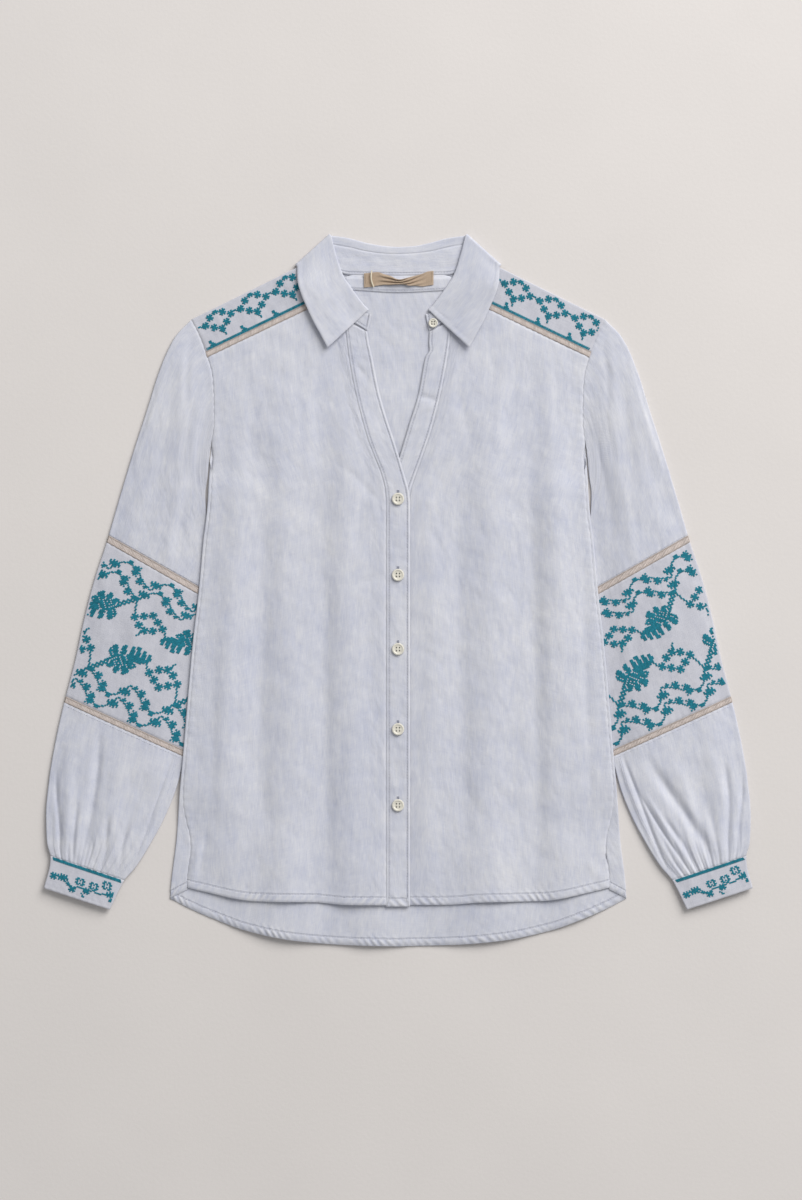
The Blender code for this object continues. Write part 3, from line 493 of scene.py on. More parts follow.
def creases(table, x, y):
    """Sum of soft troughs and ridges: each fades with the square of the distance from its line."""
    height = np.zeros(np.broadcast(x, y).shape)
    for x1, y1, x2, y2, half, tall in table:
        tall = CREASE_GAIN * tall
        length = math.hypot(x2 - x1, y2 - y1)
        along = ((x - x1) * (x2 - x1) + (y - y1) * (y2 - y1)) / length ** 2
        off = ((x - x1) * (y2 - y1) - (y - y1) * (x2 - x1)) / length
        wander = 0.35 * half * np.sin(5.0 * along + 0.1 * x1)
        ends = ramp(along, -0.12, 0.3) * ramp(along, 1.12, 0.7)
        height = height + tall * ends * bell((off - wander) / half)
    return height


def wrinkles(x, y, turn=0.0):
    """Slight unevenness of washed cloth: crossing waves whose phases wander."""
    first = np.sin(x / 15.0 + 1.4 * np.sin(y / 43.0 + turn) + turn)
    first = first * np.sin(y / 31.0 + 1.2 * np.sin(x / 27.0))
    second = np.sin((x + 0.7 * y) / 9.0 + 1.5 * np.sin(y / 19.0 + 2.0 * turn)) * np.sin(y / 14.0 + turn)
    third = np.sin((x - 0.4 * y) / 5.3 + turn) * np.sin((y + 0.5 * x) / 7.1 + 1.1 * np.sin(x / 13.0))
    return 0.55 * first + 0.3 * second + 0.15 * third


def puff(x, y):
    """Air and soft ridges under the fronts, none at the side folds, shoulders and neck."""
    height = np.zeros(np.broadcast(x, y).shape)
    for across, top, bottom, half, tall in RIDGES:
        along = ramp(y, top + 60.0, top - 60.0) * ramp(y, bottom - 90.0, bottom + 60.0)
        bend = 3.0 * np.sin(y / 70.0 + across)
        height = height + tall * along * bell((x - across - bend) / half)
    dome = ramp(y, 240.0, 120.0) * ramp(y, -360.0, -250.0)
    inside = ramp(body_edge(y) - np.abs(x), 4.0, 40.0)
    return (height + dome) * inside


def lap(x, y):
    """The right front's rise where its placket lies on the left one."""
    across = 1.0 - ramp(-x, 20.0, 85.0)
    return STEP * ramp(y, LAP_FROM_Y, LAP_FULL_Y) * across


def hem_lift(x, y):
    """How the hems stand off the floor in a few places."""
    height = np.zeros(np.broadcast(x, y).shape)
    for across, half, tall in HEM_LIFTS:
        height = height + tall * bell((x - across) / half)
    return height * ramp(y, -215.0, -345.0)


def body_height(x, y):
    """Middle height of the fronts' layer, creased."""
    rim = ramp(body_edge(y) - np.abs(x), 1.0, 14.0)
    fine = 0.3 * wrinkles(x, y) + creases(BODY_CREASES, x, y)
    return UPPER + lift(x, y) + puff(x, y) + fine * rim + hem_lift(x, y)


def stack(x, y, z):
    """Points from their three coordinates, each a number or an array."""
    return np.stack(np.broadcast_arrays(x, y, z), axis=-1)


def unit(vectors):
    """The vectors at length 1."""
    return vectors / np.maximum(np.linalg.norm(vectors, axis=-1, keepdims=True), 1e-9)


def edge_first(grid, edge):
    """The grid turned so that its first rows lie at the named edge."""
    if edge == "foot":
        return grid[::-1]
    if edge == "start":
        return np.swapaxes(grid, 0, 1)
    if edge == "end":
        return np.swapaxes(grid, 0, 1)[::-1]
    return grid


def turned_back(values, edge):
    """Undoes edge_first for one value a point."""
    if edge == "foot":
        return values[::-1]
    if edge == "start":
        return values.T
    if edge == "end":
        return values[::-1].T
    return values


def lengths(grid, axis):
    """Running length of the grid's lines along one axis."""
    steps = np.linalg.norm(np.diff(grid, axis=axis), axis=-1)
    pad = [(0, 0), (0, 0)]
    pad[axis] = (1, 0)
    return np.pad(np.cumsum(steps, axis=axis), pad)


def edge_distance(grid, edge):
    """Distance of every point from the named edge, measured along the cloth."""
    return turned_back(lengths(edge_first(grid, edge), 0), edge)


def edge_run(grid, edge):
    """Distance along the named edge, given to every point behind it."""
    turned = edge_first(grid, edge)
    run = lengths(turned[:1], 1)[0]
    return turned_back(np.broadcast_to(run, turned.shape[:2]), edge)


def grid_normals(grid, looped=False):
    """Unit normals from the differences of neighbouring points."""
    down = np.gradient(grid, axis=0)
    if looped:
        across = np.roll(grid, -1, axis=1) - np.roll(grid, 1, axis=1)
    else:
        across = np.gradient(grid, axis=1)
    return unit(np.cross(across, down))


def hem(grid, edge, band=8.6, swell=0.42, pucker=0.4, wave=9.5):
    """Heights of a turned and stitched edge: a double band, its stitch groove and slanted roping."""
    far = edge_distance(grid, edge)
    run = edge_run(grid, edge)
    double = 1.0 - ramp(far, band - 0.6, band + 1.2)
    groove = bell((far - band + 1.2) / 0.8)
    turn = 2 * math.pi * (run + 0.8 * far) / wave + 1.4 * np.sin(run / 21.0) + 0.9 * np.sin(run / 8.3 + 1.0)
    strength = 0.6 + 0.4 * np.sin(run / 37.0 + 0.5)
    ripple = np.sin(turn) * strength * bell((far - 0.55 * band) / (0.75 * band))
    return swell * double - 0.4 * groove + pucker * ripple


def seam_dip(grid, edge, depth=0.3, width=1.0, pucker=0.12, wave=6.0):
    """Heights beside a seam: the cloth sinks into it, with small puckers behind."""
    far = edge_distance(grid, edge)
    run = edge_run(grid, edge)
    turn = 2 * math.pi * run / wave + 1.7 * np.sin(run / 17.0)
    ripple = np.sin(turn) * bell(far / (3.0 * width + 3.0))
    return pucker * ripple - depth * bell(far / width)


def raised(grid, normal, height):
    """The grid's points moved along their normals."""
    return grid + normal * height[..., None]


def upward(grid):
    """Normals of a sheet turned so that most of them point up."""
    normal = grid_normals(grid)
    return normal if normal[..., 2].mean() > 0 else -normal


def inset_line(grid, normal, edge, inset):
    """Points and normals of the line that runs at a distance inside an edge."""
    turned = edge_first(grid, edge)
    facing = edge_first(normal, edge)
    far = lengths(turned, 0)
    index = np.clip((far <= inset).sum(axis=0) - 1, 0, len(far) - 2)
    pick = np.arange(far.shape[1])
    start = far[index, pick]
    part = ((inset - start) / np.maximum(far[index + 1, pick] - start, 1e-9))[:, None]
    points = turned[index, pick] * (1 - part) + turned[index + 1, pick] * part
    return points, unit(facing[index, pick])


def along_line(points, normals, places):
    """Points and normals at distances along a line."""
    steps = np.linalg.norm(np.diff(points, axis=0), axis=1)
    far = np.concatenate(([0.0], np.cumsum(steps)))
    found = [np.interp(places, far, points[:, k]) for k in range(3)]
    facing = [np.interp(places, far, normals[:, k]) for k in range(3)]
    return np.stack(found, axis=-1), unit(np.stack(facing, axis=-1))


def line_length(points):
    """Length of a line of points."""
    return np.linalg.norm(np.diff(points, axis=0), axis=1).sum()


def running_stitches(line, pitch=3.0, share=0.72, skip=1.0):
    """Starts, ends and normals of the stitches along a line of points and normals."""
    points, normals = line
    total = line_length(points)
    first = np.arange(skip, total - skip - pitch, pitch)
    starts, up = along_line(points, normals, first)
    ends, _ = along_line(points, normals, first + pitch * share)
    return starts, ends, up


class Number:
    """A shader socket that carries a number, so that maths on it reads as Python."""

    def __init__(self, finish, socket):
        self.finish = finish
        self.socket = socket

    def maths(self, operation, *values, clamp=False):
        settings = {"operation": operation, "use_clamp": clamp}
        made = self.finish.node("ShaderNodeMath", settings, dict(enumerate(values)))
        return Number(self.finish, made.outputs[0])

    def __add__(self, other):
        return self.maths("ADD", self, other)

    def __radd__(self, other):
        return self.maths("ADD", other, self)

    def __sub__(self, other):
        return self.maths("SUBTRACT", self, other)

    def __rsub__(self, other):
        return self.maths("SUBTRACT", other, self)

    def __mul__(self, other):
        return self.maths("MULTIPLY", self, other)

    def __rmul__(self, other):
        return self.maths("MULTIPLY", other, self)

    def __truediv__(self, other):
        return self.maths("DIVIDE", self, other)

    def sine(self):
        return self.maths("SINE", self)

    def bell(self):
        """1 at zero, falling off to both sides."""
        return self.maths("EXPONENT", self * self * -1.0)

    def clamped(self):
        return self.maths("ADD", self, 0.0, clamp=True)


class Finish:
    """A material under construction."""

    def __init__(self, name):
        self.material = bpy.data.materials.new(name)
        self.material.use_nodes = True
        self.tree = self.material.node_tree
        self.surface = self.tree.nodes["Principled BSDF"]
        self.place = self.node("ShaderNodeTexCoord").outputs["Object"]

    def node(self, kind, settings=None, inputs=None):
        """Adds a node: its settings are set first, then its sockets get values or links."""
        made = self.tree.nodes.new(kind)
        for key, value in (settings or {}).items():
            setattr(made, key, value)
        for key, value in (inputs or {}).items():
            self.feed(made.inputs[key], value)
        return made

    def feed(self, socket, value):
        """Links a socket or a Number to an input, or sets its value."""
        if isinstance(value, Number):
            value = value.socket
        if isinstance(value, bpy.types.NodeSocket):
            self.tree.links.new(value, socket)
        else:
            socket.default_value = value

    def noise(self, scale, detail=3.0, place=None, stretch=(1.0, 1.0, 1.0), roughness=0.55):
        """A cloudy number from 0 to 1, with scale in waves for each metre."""
        place = self.place if place is None else place
        spread = self.node("ShaderNodeMapping", None, {"Vector": place, "Scale": stretch})
        inputs = {"Vector": spread.outputs[0], "Scale": scale, "Detail": detail, "Roughness": roughness}
        return Number(self, self.node("ShaderNodeTexNoise", None, inputs).outputs["Fac"])

    def mix(self, factor, first, second):
        """A colour between two others."""
        made = self.node("ShaderNodeMix", {"data_type": "RGBA"})
        self.feed(made.inputs[0], factor)
        self.feed(made.inputs[6], first if isinstance(first, bpy.types.NodeSocket) else (*first, 1.0))
        self.feed(made.inputs[7], second if isinstance(second, bpy.types.NodeSocket) else (*second, 1.0))
        return made.outputs[2]

    def attribute(self, name):
        """A number kept on the mesh's points."""
        found = self.node("ShaderNodeAttribute", {"attribute_name": name})
        return Number(self, found.outputs["Fac"])

    def cloth_place(self):
        """The piece's own UV map, in metres of cloth: the socket, and its two numbers."""
        place = self.node("ShaderNodeUVMap", {"uv_map": "cloth"}).outputs[0]
        parts = self.node("ShaderNodeSeparateXYZ", None, {0: place})
        return place, Number(self, parts.outputs[0]), Number(self, parts.outputs[1])

    def close(self, colour, roughness, height, depth, **fixed):
        """Feeds the surface: colour, roughness, and a bump of a height and a depth in metres."""
        self.feed(self.surface.inputs["Base Color"], colour)
        self.feed(self.surface.inputs["Roughness"], roughness)
        bump = self.node("ShaderNodeBump", None, {"Strength": 1.0, "Distance": depth, "Height": height})
        self.feed(self.surface.inputs["Normal"], bump.outputs[0])
        for key, value in fixed.items():
            self.surface.inputs[key.replace("_", " ")].default_value = value
        return self.material


def sewn_relief(finish):
    """Heights in millimetres beside a stitched edge, from the distance to it and along it.

    The band outside the stitch row is double cloth. The row sinks in, slanted ripples roll across
    the band, and each stitch stands out a little. Returns the heights, the ripples and the groove,
    which the cloth's colour uses for painted highlight and shade.
    """
    far = finish.attribute("far")
    run = finish.attribute("run")
    row = finish.attribute("row")
    band = (row + 0.4 - far).clamped()
    off = (far - row) / 0.75
    groove = off.bell()
    wander = (run / 21.0).sine() * 1.6 + (run / 7.7 + 1.0).sine() * 1.1
    wave = (2 * math.pi / 8.6 * (run + far * 0.8) + wander).sine()
    strength = 0.5 + 0.5 * (run / 33.0 + 0.5).sine() * (run / 12.0).sine()
    rope = 0.12 + 0.88 * ((row - 6.0) / 1.2).clamped()
    ripple = wave * strength * rope * ((far - row * 0.5) / (row * 0.6 + 1.2)).bell()
    stitch = ((run * (2 * math.pi / 3.0)).sine() * 3.0 + 1.2).clamped() * (off * 2.0).bell()
    # The third value marks the stitch groove, less where each stitch stands out; the cloth's colour darkens
    # it as painted shade.
    return band * 0.4 - groove * 0.55 + ripple * 0.34 + stitch * 0.35, ripple, groove - stitch * 0.6


def woven(name, dark, light, yarn, weft_share, wash):
    """Plain-woven cloth: heathered yarns in both directions, washed patches, sewn edges with painted
    highlight and shade on their hem ripples and painted shade in their stitch grooves, and edges paled partly
    by wear and partly as painted highlight.
    """
    finish = Finish(name)
    place, across, along = finish.cloth_place()
    warp = (across * (math.pi / yarn)).sine()
    weft = (along * (math.pi / yarn)).sine()
    warp_slubs = finish.noise(1.0, 3.0, place, (1300.0, 90.0, 1.0), 0.65)
    weft_slubs = finish.noise(1.0, 3.0, place, (70.0, 1100.0, 1.0), 0.65)
    streaks = finish.noise(1.0, 4.0, place, (230.0, 30.0, 1.0), 0.6)
    clouds = finish.noise(9.0, 4.0)
    patches = finish.noise(60.0, 4.0)
    rumples = finish.noise(1.0, 2.0, place, (44.0, 26.0, 1.0), 0.5)
    yarns = warp_slubs * (1.0 - weft_share) + weft_slubs * weft_share
    relief, ripple, groove = sewn_relief(finish)
    tone = 0.5 + (yarns - 0.5) * 1.3 + (streaks - 0.5) * (0.6 * wash) + (clouds - 0.5) * (0.6 * wash)
    # The hem ripples also tint the cloth: painted highlight on their crests, painted shade in their troughs.
    tone = (tone + (patches - 0.5) * 0.6 * wash + ripple * 0.22).clamped()
    colour = finish.mix(tone, dark, light)
    # Edges are paled, partly as wear and partly as painted highlight.
    pale = tuple(0.55 * value + 0.45 * 0.82 for value in light)
    edge_wear_and_highlight = finish.attribute("edge") * (0.02 + 0.24 * patches)
    colour = finish.mix(edge_wear_and_highlight.clamped(), colour, pale)
    # Painted shade in the stitch groove beside each sewn edge.
    deep = tuple(0.62 * value for value in dark)
    colour = finish.mix((groove * 0.42).clamped(), colour, deep)
    roughness = 0.82 + 0.12 * patches
    height = warp * weft * 0.06 + yarns * 0.26 + patches * 0.5 + rumples * 2.2 + relief
    return finish.close(colour, roughness, height, 0.001, Sheen_Weight=0.12, Sheen_Roughness=0.5,
                        Specular_IOR_Level=0.25)


def braided(name, cord, rung, gap):
    """A tape of two cords with rungs between them, from the distance to its nearer edge and along it."""
    finish = Finish(name)
    far = finish.attribute("far")
    run = finish.attribute("run")
    strands = ((run + far * 1.5) * (2 * math.pi / 1.15)).sine()
    rungs = ((run * (2 * math.pi / 1.7)).sine() * 2.0 + 0.6).clamped()
    middle = ((far - 1.2) * 2.5).clamped()
    grime = finish.noise(300.0, 3.0)
    side = finish.mix((0.5 + 0.35 * strands + (grime - 0.5)).clamped(), shade(cord, 0.82), shade(cord, 1.12))
    inner = finish.mix((rungs * 0.8 + (grime - 0.5) * 0.6).clamped(), gap, rung)
    colour = finish.mix(middle, side, inner)
    height = (1.0 - middle) * (0.4 + 0.15 * strands) + middle * rungs * 0.3 + grime * 0.1
    return finish.close(colour, 0.8 + 0.1 * grime, height, 0.001, Sheen_Weight=0.08, Specular_IOR_Level=0.25)


def spun(name, dark, light, gloss=0.5):
    """Twisted thread: each stitch has its own tone, with a fine strand bump."""
    finish = Finish(name)
    strands = finish.noise(1500.0, 2.0)
    tone = (0.55 * finish.attribute("tone") + 0.5 * strands).clamped()
    colour = finish.mix(tone, dark, light)
    return finish.close(colour, 1.0 - gloss * strands, strands, 0.0002, Sheen_Weight=0.1,
                        Specular_IOR_Level=0.3)


def horn(name, dark, light):
    """Pale polished horn: clouded colour under a thin gloss, scuffed here and there."""
    finish = Finish(name)
    veins = finish.noise(180.0, 5.0, None, (1.0, 3.0, 1.0), 0.6)
    scuffs = finish.noise(1400.0, 3.0)
    colour = finish.mix((veins * 1.3 - 0.15).clamped(), dark, light)
    return finish.close(colour, 0.28 + 0.3 * scuffs, veins * 0.6 + scuffs * 0.2, 0.0001, Coat_Weight=0.2,
                        Coat_Roughness=0.25)


def plaster(name, dark, light):
    """The stage's floor: a plain pale surface with faint clouds."""
    finish = Finish(name)
    clouds = finish.noise(5.0, 4.0)
    grain = finish.noise(260.0, 4.0)
    colour = finish.mix((0.5 + (clouds - 0.5) * 1.2 + (grain - 0.5) * 0.5).clamped(), dark, light)
    return finish.close(colour, 0.85 + 0.1 * grain, clouds * 0.5 + grain * 0.2, 0.0006)


def finished(obj, slot, material):
    """Gives a piece its material, and rides it on the shirt's body."""
    obj.data.materials.clear()
    obj.data.materials.append(material)
    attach(obj, "root")
    return obj


def mesh_object(name, points, faces, corners=None, values=None):
    """A mesh from points in millimetres, with a UV for each face corner and a number for each point."""
    mesh = bpy.data.meshes.new(name)
    mesh.from_pydata((np.asarray(points) * MM).tolist(), [], faces.tolist())
    if corners is not None:
        layer = mesh.uv_layers.new(name="cloth")
        layer.data.foreach_set("uv", (corners * MM).reshape(-1))
    for key, value in (values or {}).items():
        kept = mesh.attributes.new(key, "FLOAT", "POINT")
        kept.data.foreach_set("value", np.asarray(value, float).reshape(-1))
    work = bmesh.new()
    work.from_mesh(mesh)
    bmesh.ops.recalc_face_normals(work, faces=work.faces)
    work.to_mesh(mesh)
    work.free()
    mesh.shade_smooth()
    mesh.set_sharp_from_angle(angle=math.radians(70))
    obj = bpy.data.objects.new(name, mesh)
    bpy.context.scene.collection.objects.link(obj)
    return obj


def nearest_row(middle, rows):
    """For every point: distance to its nearest stitched edge, distance along it, and its row's inset."""
    far = np.full(middle.shape[:2], 99.0)
    run = np.zeros(middle.shape[:2])
    row = np.zeros(middle.shape[:2])
    share = np.full(middle.shape[:2], 1e9)
    for edge, inset in rows:
        reach = edge_distance(middle, edge)
        nearer = reach / inset < share
        share = np.where(nearer, reach / inset, share)
        far = np.where(nearer, reach, far)
        run = np.where(nearer, edge_run(middle, edge), run)
        row = np.where(nearer, inset, row)
    return far, run, row


def shell(name, middle, thickness, slot, material, looped=False, rows=()):
    """A thin closed wall about a grid of middle points: two faces and a rounded rim.

    Each face lies half the thickness from the middle along the normals. The rim's own line is
    pushed out from the border, so that the edge is round. UVs are lengths along the cloth. rows
    names the stitched edges, each with the distance of its row of stitches.
    """
    down, cols = middle.shape[:2]
    normal = grid_normals(middle, looped)
    size = down * cols
    last = cols if looped else cols - 1
    i, j = (part.reshape(-1) for part in np.meshgrid(np.arange(down - 1), np.arange(last), indexing="ij"))
    a = i * cols + j
    b = i * cols + (j + 1) % cols
    closed = np.concatenate((middle, middle[:, :1]), axis=1) if looped else middle
    u = lengths(closed, 1)
    v = lengths(closed, 0)
    uv = np.stack((u, v), axis=-1)
    upper = np.stack((a, b, b + cols, a + cols), axis=-1)
    upper_uv = np.stack((uv[i, j], uv[i, j + 1], uv[i + 1, j + 1], uv[i + 1, j]), axis=1)
    border = []
    if looped:
        border.append((np.zeros(cols, int), np.arange(cols)))
        border.append((np.full(cols, down - 1), np.arange(cols)))
    else:
        ring_i = np.concatenate((np.zeros(cols - 1, int), np.arange(down - 1), np.full(cols - 1, down - 1),
                                 np.arange(down - 1, 0, -1)))
        ring_j = np.concatenate((np.arange(cols - 1), np.full(down - 1, cols - 1), np.arange(cols - 1, 0, -1),
                                 np.zeros(down - 1, int)))
        border.append((ring_i, ring_j))
    half = normal * thickness / 2
    points = [(middle + half).reshape(-1, 3), (middle - half).reshape(-1, 3)]
    faces = [upper, (size + upper)[:, ::-1]]
    corner_uv = [upper_uv, upper_uv[:, ::-1]]
    start = 2 * size
    for ring_i, ring_j in border:
        inner_j = ring_j if looped else np.clip(ring_j, 1, cols - 2)
        inner = middle[np.clip(ring_i, 1, down - 2), inner_j]
        edge = middle[ring_i, ring_j]
        points.append(edge + unit(edge - inner) * thickness * 0.4)
        count = len(ring_i)
        here = ring_i * cols + ring_j
        after = np.roll(here, -1)
        rim = start + np.arange(count)
        next_rim = start + (np.arange(count) + 1) % count
        flat_uv = uv[ring_i, ring_j]
        next_uv = np.roll(flat_uv, -1, axis=0)
        rim_uv = np.stack((flat_uv, flat_uv, next_uv, next_uv), axis=1)
        faces.append(np.stack((here, rim, next_rim, after), axis=-1))
        faces.append(np.stack((rim, size + here, size + after, next_rim), axis=-1))
        corner_uv.extend((rim_uv, rim_uv))
        start += count
    near = np.minimum(edge_distance(middle, "top"), edge_distance(middle, "foot"))
    if not looped:
        near = np.minimum(near, np.minimum(edge_distance(middle, "start"), edge_distance(middle, "end")))
    # Falloff from the nearest edge, kept as the edge attribute: the cloth's colour pales edges with it,
    # partly as wear and partly as painted highlight.
    edge_wear_and_highlight = np.exp(-near / 1.3)
    rim = np.concatenate([ring_i * cols + ring_j for ring_i, ring_j in border])
    fields = dict(zip(("far", "run", "row"), nearest_row(middle, rows)), edge=edge_wear_and_highlight)
    values = {}
    for key, field in fields.items():
        flat = field.reshape(-1)
        values[key] = np.concatenate((flat, flat, flat[rim]))
    obj = mesh_object(name, np.concatenate(points), np.concatenate(faces), np.concatenate(corner_uv), values)
    return finished(obj, slot, material)


def declare(middle, nodes, looped=False):
    """Hides the solids that a cloth piece stands for; the lengths of its cut along its own grid are worked
    out and not used.
    """
    closed = np.concatenate((middle, middle[:, :1]), axis=1) if looped else middle
    width = max(lengths(closed, 1)[:, -1].max() * MM, SMALLEST_CUT)
    length = max(lengths(closed, 0)[-1].max() * MM, SMALLEST_CUT)
    first = closed[1:, 1:] - closed[:-1, :-1]
    second = closed[1:, :-1] - closed[:-1, 1:]
    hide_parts(*nodes)


def threads(name, starts, ends, up, size, slot, material):
    """Joined thread bars: each a low round ridge, thinner at its two ends.

    A bar has three stations along it, and a section of four points: two feet in the cloth and
    two shoulders raised by the height. size is its width and height.
    """
    width, height = size
    along = ends - starts
    side = unit(np.cross(along, up))
    stations = np.array((0.0, 0.5, 1.0))
    scale = np.array((0.75, 1.0, 0.75))
    across = np.array((-0.5, -0.28, 0.28, 0.5)) * width
    tall = np.array((-THREAD_SINK, height, height, -THREAD_SINK))
    points = (starts[:, None, None] + along[:, None, None] * stations[None, :, None, None]
              + side[:, None, None] * (scale[:, None] * across[None])[None, ..., None]
              + up[:, None, None] * (np.where(tall > 0, scale[:, None], 1.0) * tall[None])[None, ..., None])
    quads = [(s + k, s + (k + 1) % 4, s + 4 + (k + 1) % 4, s + 4 + k) for s in (0, 4) for k in range(4)]
    quads = np.array(quads + [(3, 2, 1, 0), (8, 9, 10, 11)])
    faces = (quads[None] + 12 * np.arange(len(starts))[:, None, None]).reshape(-1, 4)
    tone = np.repeat(np.random.default_rng(len(starts)).random(len(starts)), 12)
    obj = mesh_object(name, points.reshape(-1, 3), faces, None, {"tone": tone})
    return finished(obj, slot, material)


def sewn(name, runs, size, thickness, slot, material):
    """Stitches on the face of the cloth, from several runs of starts, ends and normals."""
    starts, ends, up = (np.concatenate(group) for group in zip(*runs))
    face = up * thickness / 2
    threads(name, starts + face, ends + face, up, size, slot, material)


def marks(chart):
    """Places of the crosses in a chart, from its middle."""
    half_x = len(chart[0]) // 2
    half_y = len(chart) // 2
    found = [(x, y) for y, row in enumerate(chart) for x, mark in enumerate(row) if mark == "#"]
    return [(x - half_x, y - half_y) for x, y in found]


def stamp(cells, chart, x, y):
    """Adds a chart's crosses about a place."""
    cells.update((x + dx, y + dy) for dx, dy in marks(chart))


def trail(cells, points, right=0, down=0):
    """Adds the crosses of a stem through some turning points, moved right and down."""
    points = [(x + right, y + down) for x, y in points]
    for (x1, y1), (x2, y2) in zip(points, points[1:]):
        count = max(abs(x2 - x1), abs(y2 - y1))
        for k in range(count + 1):
            cells.add((round(x1 + (x2 - x1) * k / count), round(y1 + (y2 - y1) * k / count)))


def sleeve_design():
    """Crosses of the sleeve insert: paired vines, and rings of stars between palmettes."""
    half = set()
    for start in (0, VINE_REPEAT):
        for step_x, down in ((0, 0), VINE_STEP):
            right = start + step_x
            trail(half, VINE_PATH, right, down)
            for chart, (x, y) in VINE_PARTS:
                stamp(half, chart, x + right, y + down)
    for dx, dy in RING:
        stamp(half, RING_STAR, RING_CENTRE[0] + dx, RING_CENTRE[1] + dy)
    stamp(half, [row[::-1] for row in PALMETTE[::-1]], *PALMETTE_CENTRE)
    for x, y in EYE_ROW:
        stamp(half, EYE, x, y)
    for points in STEMS:
        trail(half, points)
    turned = {(2 * SLEEVE_CENTRE[0] - x, 2 * SLEEVE_CENTRE[1] - y) for x, y in half}
    repeat = half | turned
    return np.array(sorted({(x + SLEEVE_REPEAT * k, y) for x, y in repeat for k in range(-2, 3)}))


def yoke_design():
    """Crosses of a yoke: a chain of rings of stars, counted up from the seam."""
    cells = set()
    for k in range(-1, 5):
        right = k * YOKE_REPEAT
        for x, y in YOKE_RING:
            stamp(cells, RING_STAR, x + right, y)
        for points in YOKE_STEMS:
            trail(cells, points, right)
    return np.array(sorted(cells))


def cuff_design():
    """Crosses of a cuff: one wandering vine with stars, leaves and buds."""
    cells = set()
    trail(cells, CUFF_PATH)
    for chart, places in CUFF_PARTS:
        for x, y in places:
            stamp(cells, chart, x, y)
    return np.array(sorted(cells))


def crosses(cells, pitch, place):
    """Two crossed threads for each cell. place maps cloth millimetres to points and what is on the cloth."""
    u = (cells[:, 0] + 0.5) * pitch
    v = (cells[:, 1] + 0.5) * pitch
    reach = 0.5 * pitch
    corners = [place(u + du * reach, v + dv * reach) for du, dv in ((-1, -1), (1, 1), (-1, 1), (1, -1))]
    kept = np.logical_and.reduce([found for _, found in corners])
    a, b, c, d = (points[kept] for points, _ in corners)
    over = np.array((0.0, 0.0, CROSS_OVER))
    return np.concatenate((a, c + over)), np.concatenate((b, d + over))


def plain_up(points):
    """Straight up, for every point."""
    return np.broadcast_to(np.array((0.0, 0.0, 1.0)), points.shape)


def edge_row(place, first, last, lean, foot, head):
    """Close slanted stitches along an edge, from one distance off it to another, where the cloth is."""
    row = np.arange(first, last, EDGE_ROW_PITCH)
    low, kept_low = place(row, np.full(len(row), foot))
    high, kept_high = place(row + lean, np.full(len(row), head))
    kept = kept_low & kept_high
    return low[kept], high[kept]


def side_profile(y, arcs=8, strips=8):
    """Across the back's side: distance and height past the flat part, flat at an armhole."""
    turned = ramp(y, ARMPIT_Y, SIDE_FOLD_Y)
    wrap = column(SIDE_WRAP, y)
    arc = 2 * FOLD * math.sin(math.pi / 2 / arcs)
    steps = [(math.pi * turned * (k + 0.5) / arcs, arc) for k in range(arcs)]
    steps += [(math.pi * turned, wrap / strips)] * strips
    across = np.cumsum([np.zeros_like(y)] + [reach * np.cos(heading) for heading, reach in steps], axis=0).T
    height = np.cumsum([np.zeros_like(y)] + [reach * np.sin(heading) for heading, reach in steps], axis=0).T
    margin = SEAM + (CLOTH / 2 - SEAM) * turned
    return across, height, body_edge(y) - margin - across.max(axis=1)


def back_grid(rows=130, cols=42):
    """The back: rows from the neck and armholes to the curved hem, sides folded up to the front."""
    side_y = np.linspace(SIDE_TOP, SIDE_FOOT, rows)
    part = (SIDE_TOP - side_y) / (SIDE_TOP - SIDE_FOOT)
    across, height, flat = side_profile(side_y)
    inner = shares(cols)[None] * flat[:, None]
    x = np.concatenate((inner, flat[:, None] + across[:, 1:]), axis=1)
    z = np.concatenate((np.zeros_like(inner), height[:, 1:]), axis=1)
    strip = np.cumsum(np.hypot(np.diff(across, axis=1), np.diff(height, axis=1)), axis=1)
    developed = np.concatenate((inner, flat[:, None] + strip), axis=1) / np.maximum(flat, 1.0)[:, None]
    top_x = np.minimum(developed * 199.0, 199.0)
    hem_x = developed * (237.6 - EDGE)
    top_line = np.interp(top_x, [row[0] for row in BACK_TOP], [row[1] for row in BACK_TOP]) - SIDE_TOP
    hem_line = column(BACK_HEM, hem_x) - SIDE_FOOT
    y = side_y[:, None] + top_line * ((1 - part) ** 2)[:, None] + hem_line * (part ** 2)[:, None]
    inside = ramp(flat[:, None] - x, 2.0, 30.0)
    hung = 0.35 * np.abs(wrinkles(x, y, 2.0)) * inside * ramp(y, -300.0, -325.0)
    neck = 0.25 * np.abs(wrinkles(x, y, 1.0)) * ramp(y, 200.0, 260.0) * inside * ramp(y, 322.0, 312.0)
    z = z + CLOTH / 2 + lift(x, y) + hung + neck
    half = stack(x, y, z)
    grid = np.concatenate((half[:, :0:-1] * (-1.0, 1.0, 1.0), half), axis=1)
    grid[..., 2] += hem_lift(grid[..., 0], grid[..., 1])
    height = hem(grid, "foot", 8.4, 0.3, 0.3, 10.5)
    return raised(grid, upward(grid), np.maximum(height, -0.1))


